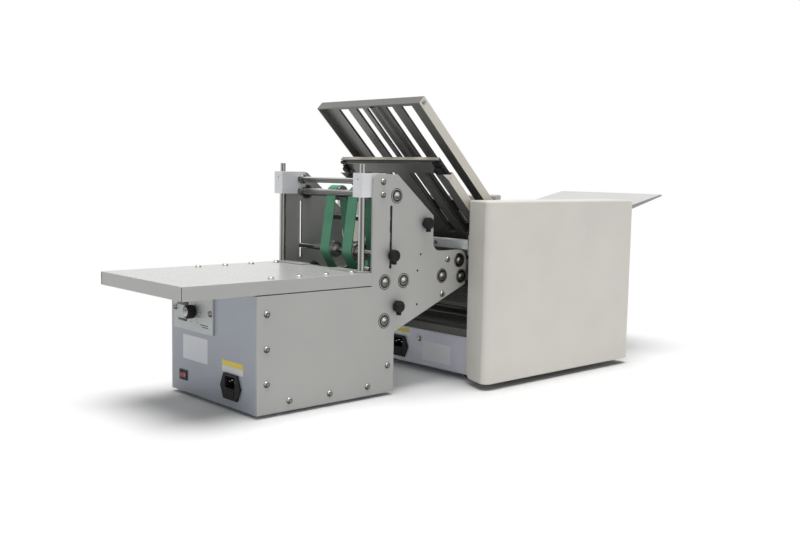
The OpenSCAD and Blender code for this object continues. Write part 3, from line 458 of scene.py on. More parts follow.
def merged_copy(node, top_round=0.0, end_round=0.0):
    """The node's mesh, its triangles joined into flat faces and those with many corners cut again cleanly."""
    bm = bmesh.new()
    bm.from_mesh(NODES[node].data)
    bmesh.ops.remove_doubles(bm, verts=bm.verts, dist=2e-6)
    bmesh.ops.dissolve_limit(bm, angle_limit=math.radians(0.6), verts=bm.verts, edges=bm.edges)
    rims = []
    if top_round:
        rims.append((Z, max(v.co.z for v in bm.verts), top_round))
    if end_round:
        rims += [(side, max(v.co.dot(side) for v in bm.verts), end_round) for side in (Y, -Y)]
    for way, reach, width in rims:
        rim = [e for e in bm.edges if all(reach - v.co.dot(way) < 1e-5 for v in e.verts)]
        bmesh.ops.bevel(bm, geom=rim, offset=width, segments=5, profile=0.5, affect="EDGES", material=-1)
    bmesh.ops.triangulate(bm, faces=[f for f in bm.faces if len(f.verts) > 4])
    return bm


def dressed(node, key, width, extra=(), rule=None, segments=2, sharp=34.0, top_round=0.0, end_round=0.0):
    """A node with rounded edges and its finish. rule(centre, normal) gives a face's finish."""
    bm = merged_copy(node, top_round, end_round)
    if rule:
        for face in bm.faces:
            face.material_index = rule(face.calc_center_median(), face.normal)
    for face in bm.faces:
        face.smooth = True
    obj = piece("dressed_" + node, bm, NODES[node]["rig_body"], (key, *extra), (node,), sharp,
                outward=False)
    return round_edges(obj, width, segments) if width else obj


def repaint(node, key):
    for slot in NODES[node].material_slots:
        slot.material = finish[key]
    for face in NODES[node].data.polygons:
        face.use_smooth = True


def islands(node):
    """Low and high corners of each loose solid of a node."""
    bm = bmesh.new()
    bm.from_mesh(NODES[node].data)
    bmesh.ops.remove_doubles(bm, verts=bm.verts, dist=2e-6)
    left, boxes = set(bm.verts), []
    while left:
        stack, found = [left.pop()], []
        while stack:
            vert = stack.pop()
            found.append(vert.co.copy())
            for edge in vert.link_edges:
                other = edge.other_vert(vert)
                if other in left:
                    left.remove(other)
                    stack.append(other)
        boxes.append((Vector(map(min, zip(*found))), Vector(map(max, zip(*found)))))
    bm.free()
    return boxes


def label(name, y0, y1, z0, z1, x, body, key, thick):
    """A thin plate with rounded corners on a face that looks along -X."""
    bm = bmesh.new()
    turn = place(Vector((x, (y0 + y1) / 2, (z0 + z1) / 2)), -X)
    bmesh.ops.create_grid(bm, x_segments=1, y_segments=1, size=0.5)
    for vert in bm.verts:
        world = Vector((x, y0 if vert.co.x < 0 else y1, z0 if vert.co.y < 0 else z1))
        vert.co = turn.inverted() @ world
    bmesh.ops.bevel(bm, geom=bm.verts[:], offset=1.2 * MM, segments=4, profile=0.5,
                    affect="VERTICES", material=-1)
    top = bmesh.ops.extrude_face_region(bm, geom=bm.faces[:])["geom"]
    bmesh.ops.translate(bm, vec=(0, 0, thick), verts=points(top))
    if len([f for f in bm.faces if len(f.verts) > 4]) < 2:
        bmesh.ops.holes_fill(bm, edges=bm.edges[:], sides=0)
    bmesh.ops.transform(bm, matrix=turn, verts=bm.verts)
    return piece(name, bm, body, (key,))


def phillips_head(radius, height):
    """A button head with its cross recess, seat on local Z = 0."""
    bm = bmesh.new()
    arm = radius * 0.5
    bmesh.ops.create_grid(bm, x_segments=3, y_segments=3, size=arm)
    corners = [f for f in bm.faces
               if min(abs(f.calc_center_median().x), abs(f.calc_center_median().y)) > arm / 3]
    bmesh.ops.delete(bm, geom=corners, context="FACES")
    sunk = points(bmesh.ops.extrude_face_region(bm, geom=bm.faces[:])["geom"])
    bmesh.ops.scale(bm, vec=(0.8, 0.8, 1), verts=sunk)
    bmesh.ops.translate(bm, vec=(0, 0, -height * 0.55), verts=sunk)
    rim = [e for e in bm.edges if all(abs(v.co.z) < 1e-9 for v in e.verts)]
    ring = bmesh.ops.create_circle(bm, segments=24, radius=radius * 0.66)["verts"]
    bmesh.ops.translate(bm, vec=(0, 0, -height * 0.08), verts=ring)
    edges = list({e for v in ring for e in v.link_edges})
    bmesh.ops.bridge_loops(bm, edges=rim + edges)
    for scale, drop in ((0.86, 0.28), (0.97, 0.6), (1.0, 0.85), (1.0, 1.0)):
        new = bmesh.ops.extrude_edge_only(bm, edges=edges)["geom"]
        ring = points(new)
        edges = [g for g in new if isinstance(g, bmesh.types.BMEdge)]
        for vert in ring:
            flat = Vector((vert.co.x, vert.co.y, 0)).normalized() * radius * scale
            vert.co = Vector((flat.x, flat.y, -height * drop))
    bmesh.ops.translate(bm, vec=(0, 0, height), verts=bm.verts)
    mesh = bpy.data.meshes.new("head")
    bm.to_mesh(mesh)
    bm.free()
    return mesh


def heads(name, node, body, key, radius, height, seats):
    """Detailed heads on the seats that find_seats gives, in place of a node's plain ones."""
    bm = bmesh.new()
    head = phillips_head(radius, height)
    for i, (at, axis) in enumerate(seats):
        first = len(bm.verts)
        bm.from_mesh(head)
        bm.verts.ensure_lookup_table()
        turn = place(at, axis) @ Matrix.Rotation(i * 1.9, 4, "Z")
        bmesh.ops.transform(bm, matrix=turn, verts=bm.verts[first:])
    return piece(name, bm, body, (key,), (node,), 40)


def find_seats(node, head_height):
    """Where each screw's head meets its seat, and which way it looks."""
    seats = []
    for low, high in islands(node):
        mid, size = (low + high) / 2, high - low
        longest = max(range(3), key=lambda i: size[i])
        if longest == 1:
            side = math.copysign(1, mid.y)
            outer = high.y if side > 0 else low.y
            seats.append((Vector((mid.x, outer - side * head_height, mid.z)), Y * side))
        elif longest == 2:
            seats.append((Vector((mid.x, mid.y, high.z - head_height)), Z))
        else:
            seats.append((Vector((low.x + head_height, mid.y, mid.z)), -X))
    return seats


class Step:
    """What the operators share: each builds one part of the scene, in the order they are written in"""
    made = []

    def __init_subclass__(cls):
        cls.step = cls.__name__.split("_OT_")[1]
        cls.bl_idname = "folder." + cls.step
        Step.made.append(cls)

    def execute(self, context):
        self.build(context.scene)
        return {"FINISHED"}


class FOLDER_OT_finishes(Step, bpy.types.Operator):
    """Makes every finish of the machine"""
    bl_label = "Finishes"

    def build(self, scene):
        make_finishes(scene.folder_finishes)


class FOLDER_OT_stacker_sheets(Step, bpy.types.Operator):
    """Dresses the stacker's plates, box and collecting table"""
    bl_label = "Stacker sheet metal"

    def build(self, scene):
        width = scene.folder_details.edge_round
        table_low, table_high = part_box("stacker_table")
        slot_x = JOINT_AT["idler_pulleys"].x
        sights = [Vector((PANEL_X + x * MM, 0, BOX_Z + z * MM)) for x, z in SIGHT_HOLES]

        def shaded(c, n):
            """Painted shadow on the walls of the slot and the sight holes, and on the edge under the table's
            rim.
            """
            flat = Vector((c.x, 0, c.z))
            wall = abs(n.y) < 0.5 and (any((flat - at).length < 2.5 * MM for at in sights) or (
                abs(c.x - slot_x) < 3 * MM and c.z > table_high.z and c.z < STACKER_HIGH.z - 20 * MM))
            return 1 if wall or (n.z > 0.9 and c.z < table_low.z and c.x < table_high.x) else 0

        for node in ("stacker_front_plate", "stacker_rear_plate"):
            dressed(node, "plate_paint", width, ("seam",), shaded)
        dressed("stacker_end_panel", "panel_paint", width * 0.5)
        dressed("stacker_pan", "panel_paint", width * 0.5)
        # The table's up faces take the table paint and its other outer faces the darker plate paint: painted
        # shade on one sheet. The rim's lower edge and the rims' inner faces take the painted shadow.
        dressed("stacker_table", "table_paint", width * 1.3, ("seam", "plate_paint"), lambda c, n: 1 if (
            n.z < -0.9 and c.z < table_low.z + MM) or (abs(n.y) > 0.9 and abs(c.y) < HALF_WIDTH - MM)
            else 0 if n.z > 0.9 else 2, segments=3)
        dressed("corner_blocks", "block", width * 0.8)
        dressed("stacker_feet", "foot_rubber", width)


class FOLDER_OT_stacker_rods(Step, bpy.types.Operator):
    """Dresses the guide posts, tie rods and clamp rods"""
    bl_label = "Posts and rods"

    def build(self, scene):
        dressed("guide_posts", "post_steel", 0.4 * MM, ("plate_paint",),
                lambda c, n: 1 if c.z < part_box("stacker_table")[1].z + 2.1 * MM else 0)
        dressed("cross_rods", "shaft_steel", 0.4 * MM)
        for node in ("top_shaft", "lift_shaft", "low_shaft", "transfer_shaft", "idler_axle"):
            dressed(node, "shaft_steel", 0.3 * MM, ("shaft_end",), lambda c, n: 1 if on_end(c, n) else 0,
                    end_round=SHAFT_DOME if node != "idler_axle" else 0.0)
        for node in ("exit_shaft", "infeed_roller_upper", "infeed_roller_lower"):
            at = JOINT_AT[NODES[node]["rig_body"]]
            dressed(node, "roller_rubber", 0.3 * MM, ("shaft_steel", "shaft_end"), rubber_rule(at, 5.5 * MM),
                    end_round=SHAFT_DOME)


def on_end(c, n):
    """Whether a face belongs to the rounded end of a shaft."""
    return abs(n.y) > 0.05 and abs(c.y) > HALF_WIDTH - SHAFT_END


def rubber_rule(at, radius):
    """Rubber on what is thicker than radius about the axis, bright steel on the rest, its ends in the
    shaft-end finish with painted highlight and shade.
    """
    return lambda c, n: 0 if math.hypot(c.x - at.x, c.z - at.z) > radius and abs(c.y) < HALF_WIDTH - 10 * MM \
        else 2 if on_end(c, n) else 1


class FOLDER_OT_idler_pulleys(Step, bpy.types.Operator):
    """Turns the idler's two pulleys, each with crowned rim, web and hub"""
    bl_label = "Idler pulleys"

    def build(self, scene):
        bm = bmesh.new()
        low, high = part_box("idler_pulleys")
        at = JOINT_AT["idler_pulleys"]
        rim, width = (high.z - low.z) / 2, scene.folder_details.belt_width + 2 * MM
        for y in BELT_AT:
            w = width / 2
            bore = 4.05 * MM
            profile = [(bore, -w - 4 * MM), (5.6 * MM, -w - 4 * MM), (6 * MM, -w - 3.6 * MM),
                       (6 * MM, -w - 2.4 * MM), (7.6 * MM, -w - 2.4 * MM), (8 * MM, -w - 2 * MM),
                       (8 * MM, -w + 0.8 * MM),
                       (9.6 * MM, -w + 0.8 * MM), (9.6 * MM, -w - 0.2 * MM), (10.4 * MM, -w - 0.2 * MM),
                       (10.4 * MM, -w + 1.2 * MM), (rim - 1.2 * MM, -w + 1.2 * MM),
                       (rim - 1.2 * MM, -w), (rim - 0.3 * MM, -w), (rim, -w + 0.3 * MM), (rim, w - 0.3 * MM),
                       (rim - 0.3 * MM, w), (rim - 1.6 * MM, w), (rim - 2.2 * MM, w - 1.4 * MM),
                       (6.4 * MM, w - 1.4 * MM), (6.0 * MM, w), (bore, w), (bore, -w - 4 * MM)]
            lathe(bm, profile, Vector((at.x, y, at.z)), Y, 40)
        piece("idler_pulley_pair", bm, "idler_pulleys", ("pulley_steel",),
              ("idler_pulleys",), 25)


class FOLDER_OT_bearings(Step, bpy.types.Operator):
    """Turns the ball bearings with outer ring, shield and inner ring, and near-black rings of painted shadow
    in the gaps beside them
    """
    bl_label = "Ball bearings"

    def build(self, scene):
        face = 7 * MM
        ring, shield, groove = (("bearing_steel", bmesh.new()), ("bearing_shield", bmesh.new()),
                                ("bearing_groove", bmesh.new()))
        outlines = (
            (ring, [(8.9, 0), (8.9, 6.9), (9.1, 7), (10.3, 7), (10.55, 6.75), (10.55, 0), (8.9, 0)]),
            (ring, [(4.05, 0), (4.05, 6.8), (4.25, 7), (5.9, 7), (6.1, 6.8), (6.1, 0), (4.05, 0)]),
            (shield, [(6.6, 0), (6.6, 6.35), (6.9, 6.6), (8.0, 6.6), (8.3, 6.35), (8.3, 0), (6.6, 0)]),
            # Near-black rings in the gaps beside the rings: painted shadow.
            (groove, [(10.5, 0), (10.5, 6.3), (11, 6.9), (11, 0), (10.5, 0)]),
            (groove, [(8.25, 0), (8.25, 5.9), (8.95, 5.9), (8.95, 0), (8.25, 0)]),
            (groove, [(6.05, 0), (6.05, 5.9), (6.65, 5.9), (6.65, 0), (6.05, 0)]),
        )
        for body in ("top_shaft", "exit_shaft", "lift_shaft", "low_shaft", "transfer_shaft",
                     "infeed_roller_upper", "infeed_roller_lower"):
            at = JOINT_AT[body]
            for side in (-1, 1):
                seat = Vector((at.x, side * (HALF_WIDTH + 0.5 * MM - face), at.z))
                for (_, bm), outline in outlines:
                    lathe(bm, scaled(*outline), seat, Y * side, 40)
        for name, (key, bm), replaces in (("bearing_rings", ring, ("stacker_bearings",)),
                                          ("bearing_shields", shield, ()), ("bearing_grooves", groove, ())):
            piece(name, bm, "stacker", (key,), replaces)


class FOLDER_OT_screws(Step, bpy.types.Operator):
    """Sets the button heads with their cross recesses"""
    bl_label = "Screws"

    def build(self, scene):
        size = scene.folder_details
        seats = find_seats("stacker_screws", size.screw_height)
        heads("stacker_screw_heads", "stacker_screws", "stacker", "screw_nickel",
              size.screw_radius, size.screw_height, seats)
        repaint("folder_screws", "screw_nickel")


def tangent(p, q):
    """Angle of the outer tangent's normal between pulleys (x, z, r), anticlockwise seen from -Y."""
    dx, dz = q[0] - p[0], q[1] - p[1]
    return math.atan2(dz, dx) - math.pi / 2 + math.asin((p[2] - q[2]) / math.hypot(dx, dz))


def rim_point(pulley, angle, y, out):
    x, z, radius = pulley
    return Vector((x + (radius + out) * math.cos(angle), y, z + (radius + out) * math.sin(angle)))


def belt_arc(bm, pulley, start, stop, y, width, out):
    """The belt's outer skin where it wraps a pulley."""
    ends = [bm.verts.new(rim_point(pulley, start, y + s * width / 2, out)) for s in (-1, 1)]
    edge = bm.edges.new(ends)
    turn = (stop - start) % math.tau
    steps = max(6, round(math.degrees(turn) / 8))
    bmesh.ops.spin(bm, geom=ends + [edge], cent=(pulley[0], 0, pulley[1]), axis=-Y, angle=turn, steps=steps)


def belt_run(bm, start, stop, width, steps=24):
    """The belt's outer skin between two pulleys."""
    ends = [bm.verts.new(start + Y * (s * width / 2)) for s in (-1, 1)]
    edges = [bm.edges.new(ends)]
    for _ in range(steps):
        new = bmesh.ops.extrude_edge_only(bm, edges=edges)["geom"]
        edges = [g for g in new if isinstance(g, bmesh.types.BMEdge) and g not in edges]
        verts = points(new)
        edges = [e for e in edges if all(v in verts for v in e.verts)]
        bmesh.ops.translate(bm, vec=(stop - start) / steps, verts=verts)


def belt_piece(name, bm, body, thickness, replaces=()):
    bmesh.ops.remove_doubles(bm, verts=bm.verts, dist=1e-6)
    bmesh.ops.recalc_face_normals(bm, faces=bm.faces)
    bmesh.ops.solidify(bm, geom=bm.faces[:], thickness=thickness)
    return piece(name, bm, body, ("belt_green",), replaces, 50)


class FOLDER_OT_belts(Step, bpy.types.Operator):
    """Lays the lift belts round their three pulleys and dresses the transfer belts"""
    bl_label = "Belts"

    def build(self, scene):
        size = scene.folder_details
        out, width = 0.15 * MM + size.belt_thickness, size.belt_width
        lift, top, idler = (JOINT_AT[b] for b in ("lift_shaft", "top_shaft", "idler_pulleys"))
        lift = (lift.x, lift.z, LIFT_PULLEY)
        top = (top.x, top.z, TOP_PULLEY)
        idler = (idler.x, idler.z, IDLER_PULLEY)
        to_top, to_idler, to_lift = tangent(lift, top), tangent(top, idler), tangent(idler, lift)
        fixed, wrap, upper, lower = (bmesh.new() for _ in range(4))
        for y in BELT_AT:
            belt_arc(fixed, lift, to_lift, to_top, y, width, out)
            belt_run(fixed, rim_point(lift, to_top, y, out), rim_point(top, to_top, y, out), width)
            belt_arc(fixed, top, to_top, to_idler, y, width, out)
            belt_run(upper, rim_point(top, to_idler, y, out), rim_point(idler, to_idler, y, out), width)
            belt_arc(wrap, idler, to_idler, to_lift, y, width, out)
            belt_run(lower, rim_point(idler, to_lift, y, out), rim_point(lift, to_lift, y, out), width)
        belt_piece("lift_belts_fixed", fixed, "stacker", size.belt_thickness, ("lift_belts",))
        belt_piece("lift_belts_wrap", wrap, "idler_axle", size.belt_thickness)
        upper = belt_piece("lift_belts_upper", upper, None, size.belt_thickness)
        lower = belt_piece("lift_belts_lower", lower, None, size.belt_thickness)
        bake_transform(upper)
        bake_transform(lower)
        dressed("transfer_belts", "belt_green", 0.2 * MM)


def fluted_knob(bm, at, axis, radius, height, flutes, steps=84):
    """A knob head with flutes, a chamfered face and a shallow dish in it."""
    part = bmesh.new()
    profile = [(0, 0), (radius * 0.82, 0), (radius * 0.97, height * 0.1), (radius, height * 0.22),
               (radius, height * 0.8), (radius * 0.93, height * 0.95), (radius * 0.82, height),
               (radius * 0.6, height), (radius * 0.5, height * 0.93), (0, height * 0.93)]
    lathe(part, profile, Vector((0, 0, 0)), Z, steps)
    for vert in part.verts:
        reach = math.hypot(vert.co.x, vert.co.y)
        if reach > radius * 0.9:
            wave = math.cos(math.atan2(vert.co.y, vert.co.x) * flutes)
            k = 1 - 0.07 * max(0.0, -wave)
            vert.co.x, vert.co.y = vert.co.x * k, vert.co.y * k
    bmesh.ops.transform(part, matrix=place(at, axis), verts=part.verts)
    add_part(bm, part)


class FOLDER_OT_knobs(Step, bpy.types.Operator):
    """Shapes the fluted clamp knobs and the two stop knobs"""
    bl_label = "Knobs"

    def build(self, scene):
        flutes = scene.folder_details.flutes
        for node in ("idler_knob", "lower_rod_knob", "upper_rod_knob"):
            low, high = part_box(node)
            at = JOINT_AT[node]
            radius = (high.x - low.x) / 2
            bm = bmesh.new()
            fluted_knob(bm, Vector((at.x, low.y + 10 * MM, at.z)), -Y, radius, 10 * MM, flutes)
            collar = [(0, 0), (radius * 0.6, 0), (radius * 0.62, 1.5 * MM),
                      (radius * 0.7, 2.7 * MM), (0, 2.7 * MM)]
            lathe(bm, collar, Vector((at.x, -HALF_WIDTH - 0.3 * MM, at.z)), -Y)
            block(bm, Vector((at.x - 2.4 * MM, low.y + 1.2 * MM, low.z)),
                  Vector((at.x + 2.4 * MM, low.y + 8.5 * MM, low.z + 7 * MM)), 0.9 * MM)
            lathe(bm, scaled((0, 0), (2, 0), (2, 14), (0, 14)),
                  Vector((at.x, -HALF_WIDTH - 1 * MM, at.z)), Y, 20)
            piece(node + "_head", bm, node, ("black_plastic",), (node,), 40)
        for node in ("stop_knob_front", "stop_knob_rear"):
            at = JOINT_AT[node]
            bm = bmesh.new()
            seat = at - ACROSS_PLATE * 2.2 * MM
            fluted_knob(bm, seat, ACROSS_PLATE, 6.5 * MM, 6.5 * MM, flutes - 2)
            lathe(bm, scaled((0, 0), (2, 0), (2, 5.7), (0, 5.7)), seat + ACROSS_PLATE * MM, -ACROSS_PLATE, 20)
            piece(node + "_head", bm, node, ("black_plastic",), (node,), 40)


class FOLDER_OT_speed_control(Step, bpy.types.Operator):
    """Dresses the speed controller, its scale and its knob"""
    bl_label = "Speed control"

    def build(self, scene):
        dressed("speed_controller", "control_face", 0.4 * MM)
        low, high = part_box("speed_controller")
        at = JOINT_AT["speed_knob"]
        face = PANEL_X - 3 * MM
        marks = bmesh.new()
        for i in range(11):
            turn = (Matrix.Translation((face, at.y, at.z))
                    @ Matrix.Rotation(math.radians(-150 + 30 * i), 4, "X"))
            turned_block(marks, turn, (-0.15 * MM, -0.3 * MM, 12.2 * MM), (0.02 * MM, 0.3 * MM, 15 * MM))
        for k, z in enumerate((8.5, 11.5)):
            turned_block(marks, Matrix.Translation((face, low.y + 12 * MM, low.z)),
                         (-0.12 * MM, 0, z * MM), (0.02 * MM, (16 + 6 * k) * MM, (z + 1.2) * MM))
        piece("speed_scale", marks, "stacker", ("print_black",))
        for i in range(0, 11, 2):
            angle = math.radians(-150 + 30 * i)
            away = Vector((-0.03 * MM, math.sin(-angle) * 18 * MM, math.cos(angle) * 18 * MM))
            number_plate(str(i), Vector((face, at.y, at.z)) + away)
        bar = bmesh.new()
        block(bar, Vector((face - 0.5 * MM, high.y - 38 * MM, low.z + 12 * MM)),
              Vector((face + 0.05 * MM, high.y - 14 * MM, low.z + 15.5 * MM)), 0.15 * MM)
        block(bar, Vector((face - 0.9 * MM, high.y - 42 * MM, high.z - 26 * MM)),
              Vector((face + 0.05 * MM, high.y - 12 * MM, high.z - 5 * MM)), 0.3 * MM)
        piece("speed_window", bar, "stacker", ("window",))
        knob = bmesh.new()
        reach = PANEL_X - 4 * MM
        fluted_knob(knob, Vector((reach, at.y, at.z)), -X, 10 * MM, 13 * MM, 22, 88)
        piece("speed_knob_skirt", knob, "speed_knob", ("black_plastic",),
              ("speed_knob",), 40)
        cap = bmesh.new()
        lathe(cap, scaled((0, 0), (7.2, 0), (7.2, 1.2), (6.7, 1.7), (6, 1.7), (5.4, 1.35), (0, 1.35)),
              Vector((reach - 12.2 * MM, at.y, at.z)), -X, 48)
        block(cap, Vector((reach - 13.98 * MM, at.y - 0.5 * MM, at.z + 1 * MM)),
              Vector((reach - 13.4 * MM, at.y + 0.5 * MM, at.z + 6 * MM)), 0.15 * MM)
        piece("speed_knob_cap", cap, "speed_knob", ("screw_nickel",))


def number_plate(text, at):
    """One number of the speed scale, printed on the controller's face."""
    curve = bpy.data.curves.new("number", "FONT")
    curve.body = text
    curve.size = 4.2 * MM
    curve.extrude = 0.03 * MM
    curve.align_x = "CENTER"
    curve.align_y = "CENTER"
    holder = put("number", curve)
    bpy.context.view_layer.update()
    mesh = bpy.data.meshes.new_from_object(holder)
    bpy.data.objects.remove(holder)
    bm = bmesh.new()
    bm.from_mesh(mesh)
    turn = Matrix((-Y, Z, -X)).transposed().to_4x4()
    bmesh.ops.transform(bm, matrix=Matrix.Translation(at) @ turn, verts=bm.verts)
    piece("scale_number_" + text, bm, "stacker", ("print_black",))


class FOLDER_OT_switch_and_inlets(Step, bpy.types.Operator):
    """Dresses the rocker switch and both mains inlets"""
    bl_label = "Switch and inlets"

    def build(self, scene):
        dressed("switch_bezel", "black_plastic", 0.35 * MM)
        dressed("switch_rocker", "switch_red", 0.4 * MM, segments=3)
        at = JOINT_AT["switch_rocker"]
        marks = bmesh.new()
        for side, radius in ((1, 0), (-1, 1.5)):
            tilt = Matrix.Translation(at) @ Matrix.Rotation(math.radians(8), 4, "Z")
            slope = math.atan2(1.0, 7.0) * side
            turn = tilt @ Matrix.Translation((-4.7 * MM, side * 3.6 * MM, 0)) @ Matrix.Rotation(slope, 4, "Z")
            if radius:
                ring = bmesh.new()
                r = radius * MM
                lathe(ring, [(r, 0), (r, 0.1 * MM), (r - 0.4 * MM, 0.1 * MM), (r - 0.4 * MM, 0), (r, 0)],
                      Vector((0, 0, 0)), Z, 24)
                bmesh.ops.transform(ring, matrix=turn @ axis_turn(-X), verts=ring.verts)
                add_part(marks, ring)
            else:
                turned_block(marks, turn, (-0.1 * MM, -0.25 * MM, -1.6 * MM),
                             (0.02 * MM, 0.25 * MM, 1.6 * MM))
        piece("switch_marks", marks, "switch_rocker", ("print_white",))
        for node in ("stacker_inlet", "folder_inlet"):
            low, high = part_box(node)
            mid = (low.y + high.y) / 2
            mid_z = (low.z + high.z) / 2
            dressed(node, "black_plastic", 0.45 * MM, ("screw_nickel",), lambda c, n: 1 if (
                abs(c.y - mid) < 9.1 * MM and mid_z + 5.4 * MM < c.z < mid_z + 10.1 * MM
                and low.x + 4.5 * MM < c.x < low.x + 21.2 * MM) else 0)
            grip = bmesh.new()
            block(grip, Vector((low.x - 0.02 * MM, mid - 4 * MM, mid_z - 8.3 * MM)),
                  Vector((low.x + 0.7 * MM, mid + 4 * MM, mid_z - 7.1 * MM)), 0.15 * MM)
            for side in (-1, 1):
                rib = mid + side * 8.6 * MM
                block(grip, Vector((low.x + 0.35 * MM, rib - 0.5 * MM, mid_z - 12.6 * MM)),
                      Vector((low.x + 0.85 * MM, rib + 0.5 * MM, mid_z - 6.4 * MM)), 0.15 * MM)
            piece(node + "_grip", grip, NODES[node]["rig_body"], ("black_plastic",))


class FOLDER_OT_labels(Step, bpy.types.Operator):
    """Puts the bare labels and stickers on both end panels"""
    bl_label = "Labels"

    def build(self, scene):
        for name, y0, y1, z0, z1, key, thick in LABELS:
            body = name.split("_")[0]
            x, floor = (PANEL_X, BOX_Z) if body == "stacker" else (BASE_X, 0)
            label(name, y0 * MM, y1 * MM, floor + z0 * MM, floor + z1 * MM, x, body, key, thick * MM)


class FOLDER_OT_covers(Step, bpy.types.Operator):
    """Dresses the folder's two moulded covers"""
    bl_label = "Covers"

    def build(self, scene):
        width = scene.folder_details.cover_round
        for node in ("front_cover", "rear_cover"):
            dressed(node, "cover_paint", 1 * MM, segments=3, sharp=50, top_round=width)


class FOLDER_OT_folder_sheets(Step, bpy.types.Operator):
    """Dresses the folder's base, frames, delivery bar and feed table"""
    bl_label = "Folder sheet metal"

    def build(self, scene):
        width = scene.folder_details.edge_round
        dressed("base_floor", "base_paint", width * 0.6)
        dressed("base_end_panel", "base_paint", width * 0.8)
        dressed("base_feet", "foot_rubber", width)
        for node in ("side_frame_front", "side_frame_rear"):
            side = math.copysign(1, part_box(node)[0].y)
            dressed(node, "frame_steel", width * 0.8, ("fold_steel",),
                    lambda c, n: 1 if n.y * side < -0.9 else 0)
        dressed("delivery_bar", "bar_steel", width * 2, segments=3)
        dressed("feed_table", "feed_paint", width, ("feed_edge",), lambda c, n: 0 if n.z > 0.9 else 1)
        dressed("feed_separator", "fold_steel", width * 0.6)
        dressed("side_guide_front", "frame_steel", width * 0.6)
        dressed("side_guide_rear", "frame_steel", width * 0.6)


def on_slope(a, b, y=0.0):
    """A point at a up the fold plates and b across them, in metres."""
    return PLATE_TOP + UP_PLATE * a + ACROSS_PLATE * b + Y * y


def rail_rule(half, top=1.0):
    """Bright rail finish on the outer faces of the side rails and on an end flange's face above top, the
    darker sheet elsewhere, the rails' inner faces too: partly the rails' own colour, partly painted light and
    shade.
    """
    return lambda c, n: 1 if (abs(n.y) > 0.9 and abs(c.y) > half - 0.5 * MM) or (
        n.dot(UP_PLATE) > 0.9 and (c - PLATE_TOP).dot(UP_PLATE) > top) else 0


class FOLDER_OT_fold_plates(Step, bpy.types.Operator):
    """Dresses the fold plates, the short plate's lugs and the stops"""
    bl_label = "Fold plates"

    def build(self, scene):
        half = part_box("fold_plate_long")[1].y
        dressed("fold_plate_long", "fold_steel", 0.35 * MM, ("rail",), rail_rule(half))
        dressed("fold_plate_short", "fold_steel", 0.35 * MM, ("rail",), rail_rule(half, SHORT_FLANGE))
        dressed("lower_fold_plates", "fold_steel", 0.35 * MM)
        dressed("stop_long", "fold_steel", 0.3 * MM)
        dressed("stop_short", "fold_steel", 0.3 * MM, ("black_plastic",),
                lambda c, n: 1 if abs(c.y) > STOP_HALF else 0)
        lugs, rings = bmesh.new(), bmesh.new()
        ring = scaled((1.7, 0), (1.7, 0.9), (3.9, 0.9), (4.2, 0.6), (4.2, 0), (1.7, 0))
        stud = scaled((0, 0), (1.1, 0), (1.1, 1.2), (0, 1.2))
        for side in (-1, 1):
            corners = [lugs.verts.new(on_slope(a * MM, b * MM, side * half)) for a, b in LUG_OUTLINE]
            flat = lugs.faces.new(corners)
            top = points(bmesh.ops.extrude_face_region(lugs, geom=[flat])["geom"])
            bmesh.ops.translate(lugs, vec=Y * side * 1.2 * MM, verts=top)
            seat = on_slope(*LUG_SCREW, side * (half + 1.1 * MM))
            lathe(rings, ring, seat, Y * side, 28)
            lathe(rings, stud, seat, Y * side, 20)
        piece("short_plate_lugs", lugs, "folder", ("rail",))
        piece("lug_washers", rings, "folder", ("rail",))


class FOLDER_OT_fold_rollers(Step, bpy.types.Operator):
    """Dresses the fold rollers with their gears and the feed roller"""
    bl_label = "Fold rollers"

    def build(self, scene):
        for i in range(1, 7):
            dressed(f"fold_roller_{i}", "roller_rubber", 0, ("shaft_steel",),
                    lambda c, n: 0 if abs(c.y) < ROLLER_HALF else 1)
        dressed("feed_roller", "feed_rubber", 0.5 * MM, ("shaft_steel",),
                lambda c, n: 0 if abs(abs(c.y) - GAP_AT) > GAP_HALF and abs(c.y) < FEED_HALF else 1)


class FOLDER_OT_motors(Step, bpy.types.Operator):
    """Dresses the two gearmotors"""
    bl_label = "Gearmotors"

    def build(self, scene):
        dressed("stacker_motor", "motor_metal", 0.8 * MM)
        dressed("folder_motor", "motor_metal", 0.8 * MM)


class FOLDER_OT_stage(Step, bpy.types.Operator):
    """Sets the floor, the lamps, the world and the camera"""
    bl_label = "Stage"

    def build(self, scene):
        stage = scene.folder_stage
        lay_floor(tuple(stage.floor))
        soft_sun("top sun", (-0.02, -0.04, 1), 38, stage.key)
        soft_lamp("front lamp", (-0.9, -2.4, 1.1), (0, 0, 0.2), 1.8, stage.fill)
        light_world(stage.sky)
        aim_camera()
        scene.view_settings.view_transform = "Standard"


def lay_floor(rgb):
    bm = bmesh.new()
    bmesh.ops.create_grid(bm, x_segments=1, y_segments=1, size=7.0)
    mesh = bpy.data.meshes.new("floor")
    bm.to_mesh(mesh)
    bm.free()
    floor = put("floor", mesh)
    mat, _, bsdf = shader("floor", 0.9)
    bsdf.inputs["Base Color"].default_value = (*rgb, 1)
    mesh.materials.append(mat)


def soft_lamp(name, at, target, size, power):
    data = bpy.data.lights.new(name, "AREA")
    data.shape = "DISK"
    data.size = size
    data.energy = power
    lamp = put(name, data)
    lamp.location = at
    lamp.rotation_euler = (Vector(target) - Vector(at)).to_track_quat("-Z", "Y").to_euler()


def soft_sun(name, towards, spread, strength):
    """Even light from one direction, the same all over the floor."""
    data = bpy.data.lights.new(name, "SUN")
    data.angle = math.radians(spread)
    data.energy = strength
    put(name, data).rotation_euler = Vector(towards).to_track_quat("Z", "Y").to_euler()


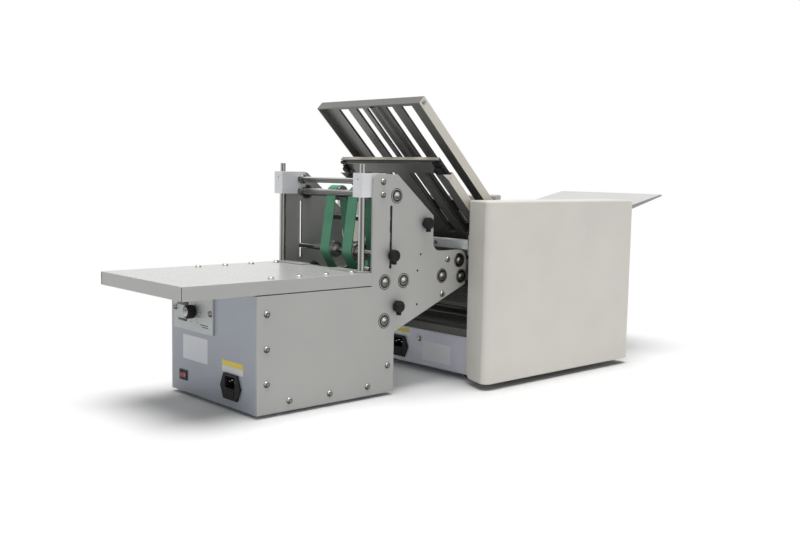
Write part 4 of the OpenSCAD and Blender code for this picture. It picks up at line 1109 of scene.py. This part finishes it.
def light_world(strength):
    world = bpy.data.worlds.new("studio")
    bpy.context.scene.world = world
    world.use_nodes = True
    tree = world.node_tree
    ground = tree.nodes["Background"]
    ground.inputs["Color"].default_value = (1, 1, 1, 1)
    ground.inputs["Strength"].default_value = strength
    white = add(tree, "Background", Color=(1, 1, 1, 1))
    mix = add(tree, "MixShader")
    path = add(tree, "LightPath")
    seen = path.outputs["Is Camera Ray"]
    for ray in ("Is Glossy Ray", "Is Transmission Ray"):
        either = add(tree, "Math")
        either.operation = "MAXIMUM"
        tree.links.new(seen, either.inputs[0])
        tree.links.new(path.outputs[ray], either.inputs[1])
        seen = either.outputs["Value"]
    tree.links.new(seen, mix.inputs["Fac"])
    tree.links.new(ground.outputs["Background"], mix.inputs[1])
    tree.links.new(white.outputs["Background"], mix.inputs[2])
    tree.links.new(mix.outputs["Shader"], tree.nodes["World Output"].inputs["Surface"])


def aim_camera():
    data = bpy.data.cameras.new("camera")
    data.sensor_width = CAMERA_SENSOR
    data.lens = CAMERA_LENS
    camera = put("camera", data)
    camera.matrix_world = Matrix.Translation(CAMERA_AT) @ Matrix(
        (CAMERA_RIGHT, -CAMERA_DOWN, -CAMERA_FORWARD)).transposed().to_4x4()
    bpy.context.scene.camera = camera


class FOLDER_PT_panel(bpy.types.Panel):
    """Lists the pieces' operators and settings in the sidebar"""
    bl_idname = "FOLDER_PT_panel"
    bl_label = "Paper folder"
    bl_space_type = "VIEW_3D"
    bl_region_type = "UI"
    bl_category = "Folder"

    def draw(self, context):
        for cls in Step.made:
            self.layout.operator("folder." + cls.step)
        for name, settings in GROUPS.items():
            for key in settings.__annotations__:
                self.layout.prop(getattr(context.scene, name), key)


GROUPS = {
    "folder_finishes": FOLDER_PG_finishes,
    "folder_details": FOLDER_PG_details,
    "folder_stage": FOLDER_PG_stage,
}
CLASSES = (*GROUPS.values(), *Step.made, FOLDER_PT_panel)


def register():
    for cls in CLASSES:
        bpy.utils.register_class(cls)
    for name, group in GROUPS.items():
        setattr(bpy.types.Scene, name, bpy.props.PointerProperty(type=group))


def unregister():
    for name in GROUPS:
        delattr(bpy.types.Scene, name)
    for cls in reversed(CLASSES):
        bpy.utils.unregister_class(cls)


def main():
    register()
    for cls in Step.made:
        getattr(bpy.ops.folder, cls.step)()


if __name__ == "__main__":
    main()
